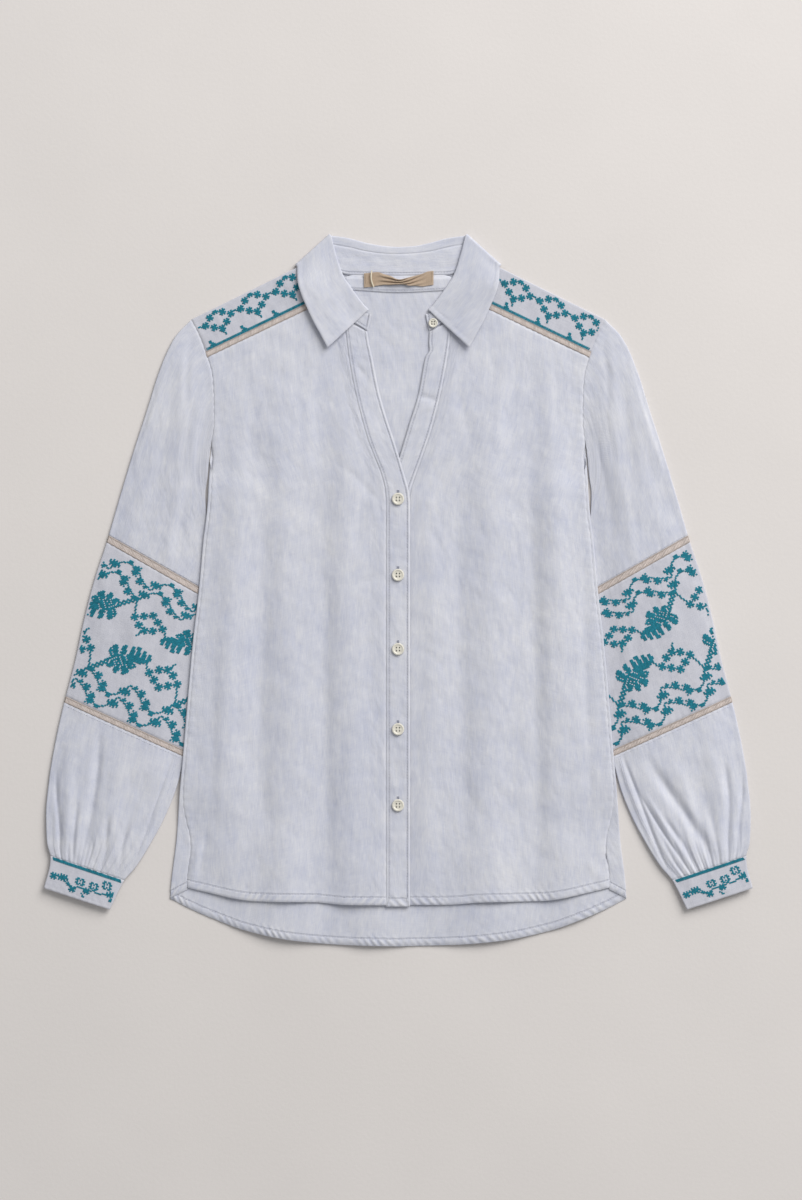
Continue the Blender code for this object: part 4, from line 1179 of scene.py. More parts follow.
def front_edge(y):
    """Where a front's side edge runs: at the armhole seam, then along the back's wrapped strip."""
    rows = np.linspace(SIDE_TOP, SIDE_FOOT, 60)
    part = (SIDE_TOP - rows) / (SIDE_TOP - SIDE_FOOT)
    strip = 237.6 + math.pi * FOLD - EDGE + column(SIDE_WRAP, rows)
    reached = rows + (column(BACK_HEM, strip) - SIDE_FOOT) * part ** 2
    row = np.interp(-np.asarray(y, float), -reached, rows)
    below = ramp(y, ARMPIT_Y + 12.0, ARMPIT_Y - 2.0)
    inset = (EDGE + column(SIDE_WRAP, row) + 4 * SEAM) * below + SEAM * (1 - below)
    return body_edge(row) * below + body_edge(y) * (1 - below) - inset


def front_top(x):
    """Height of a front's top edge: the neckline, then just below the yoke's braid."""
    corner, end = YOKE_SEAM
    drop = BRAID_WIDTH + 4 * SEAM
    across = (NECK_CORNER[0], corner[0], end[0])
    return np.interp(x, across, (NECK_CORNER[1], corner[1] - drop, end[1] - drop))


def front_grid(side, rows=210, cols=76):
    """One front: rows from the yoke and neckline to the hem, columns from placket to side."""
    table = PLACKETS[side]
    part = shares(rows)[:, None]
    share = shares(cols)[None]
    side_top = float(front_top(YOKE_SEAM[1][0]))
    side_foot = FRONT_HEM[-1][1]
    seam_top = NECK_CORNER[1]
    seam_foot = FRONT_HEM[0][1]
    seam_y = between(seam_top, seam_foot, part)
    side_y = between(side_top, side_foot, part)
    seam_x = np.abs(column(table, seam_y)) + SEAM
    top_x = between(NECK_CORNER[0], front_edge(side_top), share)
    top_line = front_top(top_x) - between(seam_top, side_top, share)
    hem_x = between(FRONT_HEM[0][0], FRONT_HEM[-1][0], share)
    hem_line = column(FRONT_HEM, hem_x) - between(seam_foot, side_foot, share)
    x = side * between(seam_x, front_edge(side_y), share)
    y = between(seam_y, side_y, share) + top_line * (1 - part) ** 2 + hem_line * part ** 2
    z = body_height(x, y)
    if side < 0:
        z = z + lap(x, y)
    grid = stack(x, y, z)
    relief = hem(grid, "foot", 8.6, 0.42, 0.42, 9.0)
    relief = relief + seam_dip(grid, "top", 0.3, 1.0, 0.2, 7.0)
    relief = relief + seam_dip(grid, "start", 0.35, 0.9, 0.1, 11.0)
    relief = relief + seam_dip(grid, "end", 0.2, 0.9, 0.25, 9.0)
    return raised(grid, upward(grid), relief)


def placket_grid(side, rows=260, cols=15):
    """A placket band, following its front's edge from the neck to the hem."""
    table = PLACKETS[side]
    top = NECK_CORNER[1]
    y = np.linspace(top, table[-1][0], rows)
    seam = column(table, y)
    free = column(table, y, 2)
    toward = np.sign(free - seam)
    share = shares(cols)
    start = seam + toward * SEAM
    x = between(start[:, None], free[:, None], share)
    slant = PLACKET_SLANT * ramp(y, 235.0, top)
    y = y[:, None] - slant[:, None] * share
    z = body_height(x, y) + PLACKET_RISE
    if side < 0:
        z = z + lap(x, y)
    grid = stack(x, y, z)
    relief = seam_dip(grid, "start", 0.25, 0.8, 0.0) + seam_dip(grid, "end", 0.25, 0.7, 0.0)
    for edge in ("start", "end"):
        far = edge_distance(grid, edge)
        run = edge_run(grid, edge)
        turn = 2 * math.pi * run / 12.5 + 1.9 * np.sin(run / 31.0)
        pull = np.sin(turn) * bell((far - 4.5) / 4.0)
        relief = relief - 0.28 * bell((far - 2.6) / 0.7) + 0.16 * pull
    relief = relief + hem(grid, "foot", 8.6, 0.25, 0.15, 9.0)
    return raised(grid, upward(grid), relief)


def yoke_line(drop=0.0):
    """The yoke's seam line from neck to armhole, moved down the front by drop."""
    seam = between(*np.array(YOKE_SEAM), shares(YOKE_POINTS)[:, None])
    seam[:, 1] -= drop
    seam[-1, 0] = body_edge(seam[-1, 1]) - SEAM
    return seam


def yoke_fold():
    """The axis of the shoulder fold from neck to armhole, and the direction out of it."""
    fold = between(*np.array(YOKE_FOLD), shares(YOKE_POINTS)[:, None])
    along = fold[-1] - fold[0]
    outward = np.array((-along[1], along[0])) / np.hypot(*along)
    fold = fold - outward * EDGE
    return fold, outward


def yoke_grid(side):
    """A shoulder piece: up the front to the shoulder fold, over it and down the back."""
    seam = yoke_line()
    fold, outward = yoke_fold()

    def leaf(part, level):
        plan = between(seam, fold, part)
        plan[-1, 0] = min(plan[-1, 0], body_edge(plan[-1, 1]) - SEAM)
        return stack(plan[:, 0], plan[:, 1], level + lift(plan[:, 0], plan[:, 1]))

    rows = []
    for part in shares(18):
        row = leaf(part, UPPER)
        row[:, 2] += 0.12 * wrinkles(row[:, 0], row[:, 1], 3.0) * math.sin(math.pi * part)
        rows.append(row)
    for turn in np.radians(np.linspace(22.5, 157.5, 7)):
        plan = fold + outward * FOLD * math.sin(turn)
        z = EDGE + FOLD * math.cos(turn) + lift(fold[:, 0], fold[:, 1])
        rows.append(stack(plan[:, 0], plan[:, 1], z))
    rows.extend(leaf(part, CLOTH / 2) for part in np.linspace(1.0, 0.0, 8))
    grid = np.array(rows)
    grid[:, :, 0] *= side
    return grid


def yoke_braid_grid(side):
    """The braid set in between a yoke and its front."""
    rows = []
    for drop in np.linspace(SEAM, SEAM + BRAID_WIDTH, 7):
        line = yoke_line(drop)
        crown = 0.25 * math.sin(math.pi * (drop - SEAM) / BRAID_WIDTH)
        z = UPPER + lift(line[:, 0], line[:, 1]) + crown
        rows.append(stack(line[:, 0] * side, line[:, 1], z))
    return np.array(rows)


def collar_sections(back=40, corner=13, front=44):
    """Plan lines of the half collar from the centre back to the front end, and each one's turn."""
    def lines(table, count):
        table = np.array(table)
        places = np.arange(len(table), dtype=float)
        at = np.linspace(0.0, len(table) - 1.0, count)
        found = [[smooth(places, table[:, k, c], at) for c in (0, 1)] for k in range(4)]
        return np.moveaxis(np.array(found), 2, 0)

    made = [(line, 0.0) for line in lines(COLLAR_BACK, back)]
    made += [(np.array(COLLAR_BACK[-1]), turn) for turn in np.radians(np.linspace(12.0, 168.0, corner))]
    made += [(line, math.pi) for line in lines(COLLAR_FRONT, front)]
    return made


def ribbon_points(plan, ring, turn, outward):
    """Lift plan points to their height about the fold's axis, at the section's turn."""
    plan = plan + outward * (ring * math.sin(turn))[:, None]
    centre = EDGE + lift(plan[:, 0], plan[:, 1])
    z = centre - ring * math.cos(turn)
    if turn > 3.0:
        z = z + puff(plan[:, 0], plan[:, 1])
    return stack(plan[:, 0], plan[:, 1], z)


def facing_up(grid, at):
    """Normals turned so that the one at a given point looks up."""
    normal = grid_normals(grid)
    return normal if normal[at][2] > 0 else -normal


def mirrored_ribbon(half):
    """Join a half ribbon, given from the centre back outwards, to its mirror image."""
    half = np.array(half)
    return np.concatenate((half[:0:-1] * (-1.0, 1.0, 1.0), half))


def collar_grid():
    """The fall: from the stand's top, over the roll and down to its free edge, all round the neck."""
    half = []
    sections = collar_sections()
    fronts = [k for k, (_, turn) in enumerate(sections) if turn == math.pi]
    outer_parts = shares(26)
    for k, (line, turn) in enumerate(sections):
        _, top, roll, free = line
        beyond = (roll - free) / np.hypot(*(roll - free))
        axis = roll - beyond * EDGE
        outer = [between(axis, free, part) for part in outer_parts]
        start = 0.06 if turn < 1.0 else 0.6
        inner = [between(top, axis, part) for part in np.linspace(start, 1.0, 6)]
        angles = np.radians(np.linspace(22.5, 157.5, 7))
        arc = [axis + beyond * FOLD * math.sin(a) for a in angles]
        rings = [FOLD] * 6 + [STEP - FOLD * math.cos(a) for a in angles] + [STEP + FOLD] * len(outer)
        points = ribbon_points(np.array(inner + arc + outer), np.array(rings), turn, FALL_OUTWARD)
        if turn == math.pi:
            along = (k - fronts[0]) / (len(fronts) - 1)
            swell = sum(tall * np.exp(-((along - at) ** 2 + (outer_parts - out) ** 2) / radius ** 2)
                        for at, out, radius, tall in LEAF_SWELLS)
            raise_edge = 4.0 * ramp(outer_parts, 0.2, 1.0) * ramp(along, 0.0, 0.3)
            points[-len(outer):, 2] += swell * ramp(along, 0.0, 0.15) + raise_edge
        half.append(points)
    grid = mirrored_ribbon(half)
    far = edge_distance(grid, "end")
    ends = np.minimum(edge_distance(grid, "top"), edge_distance(grid, "foot"))
    near = np.minimum(far, np.where(ends > 0, ends, 0.0))
    relief = 0.22 * (1 - ramp(near, 4.2, 5.4)) - 0.3 * bell((near - 5.0) / 0.7)
    run = edge_run(grid, "end")
    relief = relief + 0.22 * wrinkles(0.8 * run, 0.5 * far, 6.0) * ramp(near, 5.0, 14.0)
    return raised(grid, facing_up(grid, ON_LEAF), relief)


def stand_grid():
    """The stand: a band from the neck seam to the roll, hidden by the leaves but for its ends."""
    sections = collar_sections(30, 13, 30)
    last = sections[-1][0]
    end = np.array(STAND_END)
    for part in np.linspace(0.1, 1.0, 10):
        sections.append((between(last[:2], end, part), math.pi))
    half = []
    for line, turn in sections:
        plan = np.array([between(line[0], line[1], part) for part in shares(12)])
        half.append(ribbon_points(plan, np.full(12, FOLD), turn, STAND_OUTWARD))
    grid = mirrored_ribbon(half)
    near = np.minimum(edge_distance(grid, "top"), edge_distance(grid, "foot"))
    near = np.minimum(near, edge_distance(grid, "start"))
    relief = -0.2 * bell((near - 2.4) / 0.7)
    return raised(grid, facing_up(grid, ON_STAND), relief)


def sleeve_frame(at):
    """Outer point, inner point, width and puff of the sleeve at places along it."""
    outer = np.stack((column(SLEEVE, at, 1), column(SLEEVE, at, 2)), axis=-1)
    inner = np.stack((column(SLEEVE, at, 3), column(SLEEVE, at, 4)), axis=-1)
    width = np.linalg.norm(inner - outer, axis=-1)
    return outer, inner, width, column(SLEEVE, at, 5)


def sleeve_plan(at, distance):
    """A plan point at a distance from the outer fold. Near the armhole the line bends along its seam."""
    outer, inner, width, _ = sleeve_frame(at)
    share = distance / width
    point = between(outer, inner, share[..., None])
    chord_y = between(SLEEVE[0][2], SLEEVE[0][4], share)
    chord_x = between(SLEEVE[0][1], SLEEVE[0][3], share)
    seam = body_edge(chord_y) + SEAM + 1.5 * ramp(share, 0.8, 1.0) - chord_x
    away = 1.0 - ramp(at, 0.0, 0.30)
    point[..., 0] = point[..., 0] + away * seam
    return point


def gathers(at, share):
    """Gathers above a cuff: uneven waves that fade up the sleeve."""
    near = ramp(at, 0.90, 1.0)
    turn = 2 * math.pi * GATHERS * share + 0.8 * np.sin(7.0 * share + 1.0)
    reach = 0.55 + 0.45 * np.sin(23.0 * share + 2.0)
    inside = ramp(share, 0.02, 0.12) * ramp(1 - share, 0.02, 0.12)
    deep = GATHER_HEIGHT * near ** (1.2 + reach) * (0.5 + 0.5 * np.cos(turn))
    close = ramp(at, 0.965, 1.0)
    small = 0.2 * close ** 1.5 * np.sin(2.3 * turn + 2.0 * np.sin(11.0 * share))
    return inside * (deep + small)


def cuff_lift(at):
    """How far the sleeve's end stands off the floor."""
    return 3.5 * ramp(at, 0.93, 1.05)


def sleeve_top(side, at, share):
    """A point of a sleeve's upper layer: the flattened tube's puff, gathers and creases."""
    at, share = np.broadcast_arrays(np.asarray(at, float), np.asarray(share, float))
    _, _, width, tall = sleeve_frame(at)
    plan = sleeve_plan(at, EDGE + (width - 2 * EDGE) * share)
    x, y = plan[..., 0], plan[..., 1]
    from_outer = share * width
    from_inner = (1 - share) * width
    dome = 0.3 + 0.7 * ramp(from_outer, 0.0, 26.0)
    beside = ramp(x - body_edge(y), SIDE_BY_SIDE, 34.0)
    free = ramp(at, LOWER_BRAID[1], 0.93)
    inner_dome = 0.25 + 0.75 * ramp(from_inner, 0.0, 30.0)
    sleeve_rise = tall * dome * (beside * (1 - free) + inner_dome * free)
    cuff_rise = tall * np.minimum(dome, 0.3 + 0.7 * ramp(from_inner, 0.0, 20.0))
    on_cuff = at >= CUFF_AT - 1e-9
    rise = np.where(on_cuff, cuff_rise, sleeve_rise)
    clear = ramp(x - body_edge(y), 1.0, 10.0)
    rim = ramp(from_outer, 0.5, 7.0) * ramp(from_inner, 0.5, 7.0)
    fine = 0.3 * wrinkles(x, y, 4.0 + side) + creases(SLEEVE_CREASES[side], x, y)
    fine = np.where(on_cuff, 0.12 * wrinkles(2.2 * x, 2.2 * y, 5.0), fine)
    fine = fine + np.where(on_cuff, 0.0, gathers(at, share))
    z = UPPER + np.maximum(rise + fine * clear * rim, 0.0) + cuff_lift(at)
    return stack(side * x, y, z)


def sleeve_tube(side, places, across, relief, under=22):
    """A stretch of sleeve: over the top from the outer fold, round the inner one and back beneath."""
    at = np.asarray(places, float)[:, None]
    top = sleeve_top(side, at, shares(across)[None])
    top = raised(top, np.array((0.0, 0.0, 1.0)), relief(top))
    low = CLOTH / 2 + cuff_lift(at)
    _, _, width, _ = sleeve_frame(at)
    angles = np.radians(np.linspace(67.5, -67.5, 7))[None]
    reach = CLOTH / 2 + FOLD * (1 - np.cos(angles))
    parts = [top]
    for end in (1, 0):
        half = (top[:, -1:, 2] - low) / 2 if end else (top[:, :1, 2] - low) / 2
        turn = angles if end else -angles
        distance = width - reach if end else np.broadcast_to(reach, (len(at), 7))
        edge = sleeve_plan(np.broadcast_to(at, distance.shape), distance)
        parts.append(stack(side * edge[..., 0], edge[..., 1], low + half + half * np.sin(turn)))
        if end:
            beneath = EDGE + (width - 2 * EDGE) * np.linspace(1.0, 0.0, under)[None]
            plan = sleeve_plan(np.broadcast_to(at, beneath.shape), beneath)
            parts.append(stack(side * plan[..., 0], plan[..., 1], low))
    return np.concatenate(parts, axis=1)


def flat_strip(top, foot, level, cols, rows=7):
    """A strip between two lines, each given by three points, at a height over the back."""
    share = shares(cols)
    lines = []
    for line in (top, foot):
        x, y = np.array(line).T
        across = between(x[0], x[-1], share)
        lines.append(np.stack((across, smooth(x, y, across)), axis=-1))
    part = shares(rows)[:, None, None]
    plan = lines[0][None] * (1 - part) + lines[1][None] * part
    return stack(plan[..., 0], plan[..., 1], CLOTH / 2 + lift(plan[..., 0], plan[..., 1]) + level)


def label_grid(rows=25, cols=120):
    """A blank label sewn down at both ends: its tape bunches at the middle into slanted pleats."""
    share = shares(cols)[None]
    part = np.linspace(-1.0, 1.0, rows)[:, None]
    kept = column(LABEL_BUNCH, share)
    moved = column(LABEL_BUNCH, share, 2)
    half = (LABEL_TOP - LABEL_FOOT) / 2
    pleat = np.cos(2.6 * math.pi * part + 17.0 * share + 1.1 * np.sin(9.0 * share))
    bunched = 1.0 - kept
    x = between(LABEL_LEFT, LABEL_RIGHT, share) + 2.2 * part * bunched * np.sin(14.0 * share)
    y = (LABEL_TOP + LABEL_FOOT) / 2 + moved - half * kept * (part + 0.12 * pleat * bunched)
    ruck = 0.25 * np.sin(31.0 * share + 2.0 * part) * ramp(share, 0.04, 0.2) * ramp(share, 0.98, 0.85)
    z = LABEL_LEVEL + 2.6 * bunched * (1.0 + pleat) + ruck
    return stack(x, y, z)


def make_cord(name, path, radius, slot, material, sides=10):
    """A round cord: a circle carried along a path, closed at both ends."""
    tangent = unit(np.gradient(path, axis=0))
    side = unit(np.cross(tangent, (0.0, 0.0, 1.0)))
    up = np.cross(side, tangent)
    angle = np.linspace(0.0, 2 * math.pi, sides, endpoint=False)
    ring = side[:, None] * np.cos(angle)[None, :, None] + up[:, None] * np.sin(angle)[None, :, None]
    points = (path[:, None] + radius * ring).reshape(-1, 3)
    rows = len(path)
    i, j = (part.reshape(-1) for part in np.meshgrid(np.arange(rows - 1), np.arange(sides), indexing="ij"))
    k = (j + 1) % sides
    faces = np.stack((i * sides + j, i * sides + k, (i + 1) * sides + k, (i + 1) * sides + j), axis=-1)
    ends = [(first, first + k, first + k + 1, first + k + 2)
            for first in (0, (rows - 1) * sides) for k in range(1, sides - 2, 2)]
    obj = mesh_object(name, points, np.concatenate((faces, np.array(ends))), None,
                      {"tone": np.full(len(points), 0.5)})
    return finished(obj, slot, material)


def colour_property(name, description, default):
    """A colour in the panel."""
    return bpy.props.FloatVectorProperty(name=name, description=description, default=default, size=3,
                                         subtype="COLOR", min=0, max=1)


def number_property(name, description, default, unit="LENGTH", **limits):
    """A number in the panel, a length unless another unit is given."""
    return bpy.props.FloatProperty(name=name, description=description, default=default, unit=unit, **limits)


class ShirtCloth(bpy.types.PropertyGroup):
    """Sizes and colours of the cloth."""

    thickness: number_property("Thickness", "Thickness of the drawn cloth", 0.0007, min=0.0002, max=0.001)
    yarn: number_property("Yarn", "Distance between two yarns", 0.0005, min=0.0002, max=0.002)
    light: colour_property("Pale yarn", "Paler yarn of the blue cloth", (0.765, 0.765, 0.79))
    dark: colour_property("Deep yarn", "Deeper yarn of the blue cloth", (0.49, 0.52, 0.65))
    panel_light: colour_property("Pale panel yarn", "Paler yarn of the inserts", (0.685, 0.685, 0.735))
    panel_dark: colour_property("Deep panel yarn", "Deeper yarn of the inserts", (0.47, 0.485, 0.565))


class ShirtTrim(bpy.types.PropertyGroup):
    """Sizes and colours of braid, thread, buttons and label."""

    stitch: number_property("Stitch length", "Distance between topstitches", 0.003, min=0.0015, max=0.006)
    teal: colour_property("Embroidery", "Colour of the cross-stitch thread", (0.009, 0.18, 0.25))
    braid: colour_property("Braid", "Colour of the braid", (0.56, 0.485, 0.445))
    horn: colour_property("Buttons", "Colour of the buttons", (0.76, 0.73, 0.64))
    label: colour_property("Label", "Colour of the label's tape", (0.44, 0.335, 0.245))


class ShirtStage(bpy.types.PropertyGroup):
    """Floor, light and camera."""

    floor: colour_property("Floor", "Colour of the floor", (0.73, 0.695, 0.675))
    key: number_property("Key light", "Power of the soft light at the upper right", 430.0, "POWER", min=0.0)
    fill: number_property("Fill light", "Strength of the light from all round", 0.38, "NONE", min=0.0)
    frame_height: number_property("View height", "Length of the picture's long side", 1.248, min=0.1)
    lens: number_property("Lens", "Focal length in millimetres", 120.0, "NONE", min=20.0)


def paint(name, make, *settings):
    """A material made once and shared by name."""
    return bpy.data.materials.get(name) or make(name, *settings)


def shade(colour, factor):
    """A colour made deeper or paler."""
    return tuple(min(1.0, value * factor) for value in colour)


def cloth_finish(context):
    cloth = context.scene.shirt_cloth
    return paint("washed_chambray", woven, tuple(cloth.dark), tuple(cloth.light), cloth.yarn, 0.35, 1.0)


def panel_finish(context):
    cloth = context.scene.shirt_cloth
    dark = tuple(cloth.panel_dark)
    return paint("insert_cloth", woven, dark, tuple(cloth.panel_light), cloth.yarn, 0.5, 0.7)


def thread_finish(context):
    cloth = context.scene.shirt_cloth
    return paint("topstitch_thread", spun, shade(cloth.dark, 0.95), shade(cloth.light, 1.0))


def teal_finish(context):
    teal = context.scene.shirt_trim.teal
    return paint("embroidery_thread", spun, shade(teal, 0.6), shade(teal, 1.5))


def braid_finish(context):
    braid = tuple(context.scene.shirt_trim.braid)
    return paint("braid_tape", braided, braid, shade(braid, 1.25), shade(braid, 0.82))


def braid_cord_finish(context):
    braid = tuple(context.scene.shirt_trim.braid)
    return paint("braid_cord_thread", spun, shade(braid, 0.72), shade(braid, 1.05))


def braid_rung_finish(context):
    braid = context.scene.shirt_trim.braid
    deep, pale = (tuple(gain * value for gain, value in zip(gains, braid)) for gains in RUNG_GAINS)
    return paint("braid_rung_thread", spun, deep, pale)


FINISHES = {CLOTH_SLOT: cloth_finish, PANEL_SLOT: panel_finish, BRAID_SLOT: braid_finish}


def drawn_thickness(context):
    """Thickness of the drawn cloth in millimetres."""
    return context.scene.shirt_cloth.thickness / MM


def cloth_piece(context, node, grid, slot=CLOTH_SLOT, rows=(), looped=False):
    """Makes the sewn piece that stands for a solid, and hides the solid."""
    name = node + ("_tape" if slot == BRAID_SLOT else "_cloth")
    obj = shell(name, grid, drawn_thickness(context), slot, FINISHES[slot](context), looped, rows)
    declare(grid, [node], looped)


def topstitch(context, name, grid, rows, facing=None):
    """Topstitching on a sheet: rows at distances inside its named edges."""
    facing = upward(grid) if facing is None else facing
    pitch = context.scene.shirt_trim.stitch / MM
    runs = [running_stitches(inset_line(grid, facing, edge, inset), pitch) for edge, inset in rows]
    sewn(name, runs, TOP_THREAD, drawn_thickness(context), CLOTH_SLOT, thread_finish(context))


def embroider(context, name, parts, size):
    """Embroidery from several groups of thread starts and ends that already lie on the cloth."""
    starts, ends = (np.concatenate(group) for group in zip(*parts))
    threads(name, starts, ends, plain_up(starts), size, PANEL_SLOT, teal_finish(context))


def braid_cords(grid, facing):
    """Slanted threads along both edges of a braid."""
    runs = []
    for edge, lean in (("top", 0.18), ("foot", -0.18)):
        line = inset_line(grid, facing, edge, 0.45)
        places = np.arange(0.4, line_length(line[0]) - 1.4, 1.3)
        starts, up = along_line(*line, places)
        ends, _ = along_line(*line, places + 1.25)
        turn = unit(np.cross(ends - starts, up)) * lean
        runs.append((starts - turn, ends + turn, up))
    return runs


def braid_rungs(grid, facing):
    """Pale threads across a braid, from one edge cord to the other."""
    upper, lower = (inset_line(grid, facing, edge, 0.9) for edge in ("top", "foot"))
    places = np.arange(0.8, line_length(upper[0]) - 0.8, 1.5)
    starts, up = along_line(*upper, places)
    ends, _ = along_line(*lower, places)
    return [(starts, ends, up)]


def braid_sewing(context, name, grids):
    """The threads that show on one or more braids."""
    for ending, make, size, finish in (("_cords", braid_cords, CORD_THREAD, braid_cord_finish),
                                       ("_rungs", braid_rungs, RUNG_THREAD, braid_rung_finish)):
        runs = [run for grid in grids for run in make(grid, upward(grid))]
        sewn(name + ending, runs, size, drawn_thickness(context), BRAID_SLOT, finish(context))


class SHIRT_OT_body(bpy.types.Operator):
    """Make the back, the fronts and the plackets, with their hems and topstitching"""

    bl_idname = "shirt.body"
    bl_label = "Body"

    def execute(self, context):
        back = back_grid()
        cloth_piece(context, "back", back, rows=BACK_ROWS)
        topstitch(context, "back_hem_stitching", back, BACK_ROWS)
        pieces = (("front_", front_grid, FRONT_ROWS), ("placket_", placket_grid, PLACKET_ROWS))
        for part, make, rows in pieces:
            for side, word in WORDS.items():
                grid = make(side)
                cloth_piece(context, part + word, grid, rows=rows)
                topstitch(context, part + word + "_stitching", grid, rows)
        return {"FINISHED"}


class SHIRT_OT_yokes(bpy.types.Operator):
    """Make the shoulder pieces, the braids on their seams and their garlands of stars"""

    bl_idname = "shirt.yokes"
    bl_label = "Yokes"

    def execute(self, context):
        for side, word in WORDS.items():
            cloth_piece(context, "yoke_" + word, yoke_grid(side), PANEL_SLOT)
            braid = yoke_braid_grid(side)
            cloth_piece(context, "yoke_braid_" + word, braid, BRAID_SLOT, BRAID_ROWS)
            self.garland(context, side, word)
            braid_sewing(context, "yoke_braid_" + word, [braid])
        return {"FINISHED"}

    def garland(self, context, side, word):
        """A chain of rings of stars, a close row of stitches at the seam, and sprigs on the row."""
        seam = yoke_line()
        fold, _ = yoke_fold()
        length = np.hypot(*(seam[-1] - seam[0]))
        height = np.hypot(*(fold[0] - seam[0]))
        index = np.arange(YOKE_POINTS)

        def place(u, v, right=0.0):
            from_neck = (length - (u + right) if side < 0 else u + right) / length
            part = v / height
            share = np.clip(from_neck, 0.0, 1.0) * (YOKE_POINTS - 1)
            low, high = (np.stack([np.interp(share, index, line[:, k]) for k in (0, 1)], axis=-1)
                         for line in (seam, fold))
            plan = between(low, high, part[:, None])
            z = UPPER + lift(plan[:, 0], plan[:, 1]) + drawn_thickness(context) / 2
            z = z + 0.12 * wrinkles(plan[:, 0], plan[:, 1], 3.0) * np.sin(math.pi * np.clip(part, 0.0, 1.0))
            inside = (from_neck > 0.004) & (from_neck < 0.992) & (part < 1.0)
            inside &= plan[:, 0] < body_edge(plan[:, 1]) - 1.0
            return stack(side * plan[:, 0], plan[:, 1], z), inside

        parts = [crosses(yoke_design(), YOKE_PITCH, lambda u, v: place(u, v, YOKE_SHIFT[side]))]
        parts.append(edge_row(place, 0.6, length - 0.4, 0.5, 0.3, 3.3))
        for right in np.arange(SPRIG_FROM, length, SPRIG_EVERY):
            parts.append(crosses(np.array(SPRIG), YOKE_PITCH, lambda u, v: place(u, v, right)))
        embroider(context, "yoke_" + word + "_embroidery", parts, CROSS_THREAD)


class SHIRT_OT_collar(bpy.types.Operator):
    """Make the collar, its stand, the neck facing and their topstitching"""

    bl_idname = "shirt.collar"
    bl_label = "Collar"

    def execute(self, context):
        cloth_piece(context, "collar", collar_grid())
        stand = stand_grid()
        cloth_piece(context, "collar_stand", stand, rows=STAND_ROWS)
        topstitch(context, "collar_stand_stitching", stand, STAND_ROWS, facing_up(stand, ON_STAND))
        strip = flat_strip(FACING_TOP, FACING_FOOT, FACING_LEVEL, 60)
        strip = raised(strip, upward(strip), seam_dip(strip, "foot", 0.2, 0.8, 0.1, 8.0))
        cloth_piece(context, "neck_facing", strip, rows=FACING_ROWS)
        topstitch(context, "neck_facing_stitching", strip, FACING_ROWS)
        return {"FINISHED"}


class SHIRT_OT_label(bpy.types.Operator):
    """Make the blank neck label and its loop"""

    bl_idname = "shirt.label"
    bl_label = "Neck Label"

    def execute(self, context):
        colour = tuple(context.scene.shirt_trim.label)
        tape = paint("tan_twill_tape", woven, shade(colour, 0.8), shade(colour, 1.25), 0.0004, 0.5, 0.6)
        grid = label_grid()
        piece = shell("neck_label_tape", grid, LABEL_THICKNESS, "label_tape", tape)
        declare(grid, ["neck_label"])
        share = shares(40)
        bow = np.sin(math.pi * share)
        path = stack(LOOP_X - 1.6 * bow + 2.0 * share, LABEL_TOP + 1.6 - LOOP_DROP * share,
                     LOOP_LEVEL + 1.1 * bow)
        cord = paint("label_cord", spun, *LOOP_COLOURS)
        loop = make_cord("label_loop_cord", path, LOOP_RADIUS, "label_loop", cord)
        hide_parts("label_loop")
        facing = upward(grid)
        runs = [running_stitches(inset_line(grid, facing, edge, LABEL_ROW), LABEL_PITCH)
                for edge in ("start", "end")]
        thread = paint("label_thread", spun, shade(colour, 0.7), colour)
        sewn("neck_label_stitching", runs, LABEL_THREAD, LABEL_THICKNESS, "label_tape", thread)
        return {"FINISHED"}


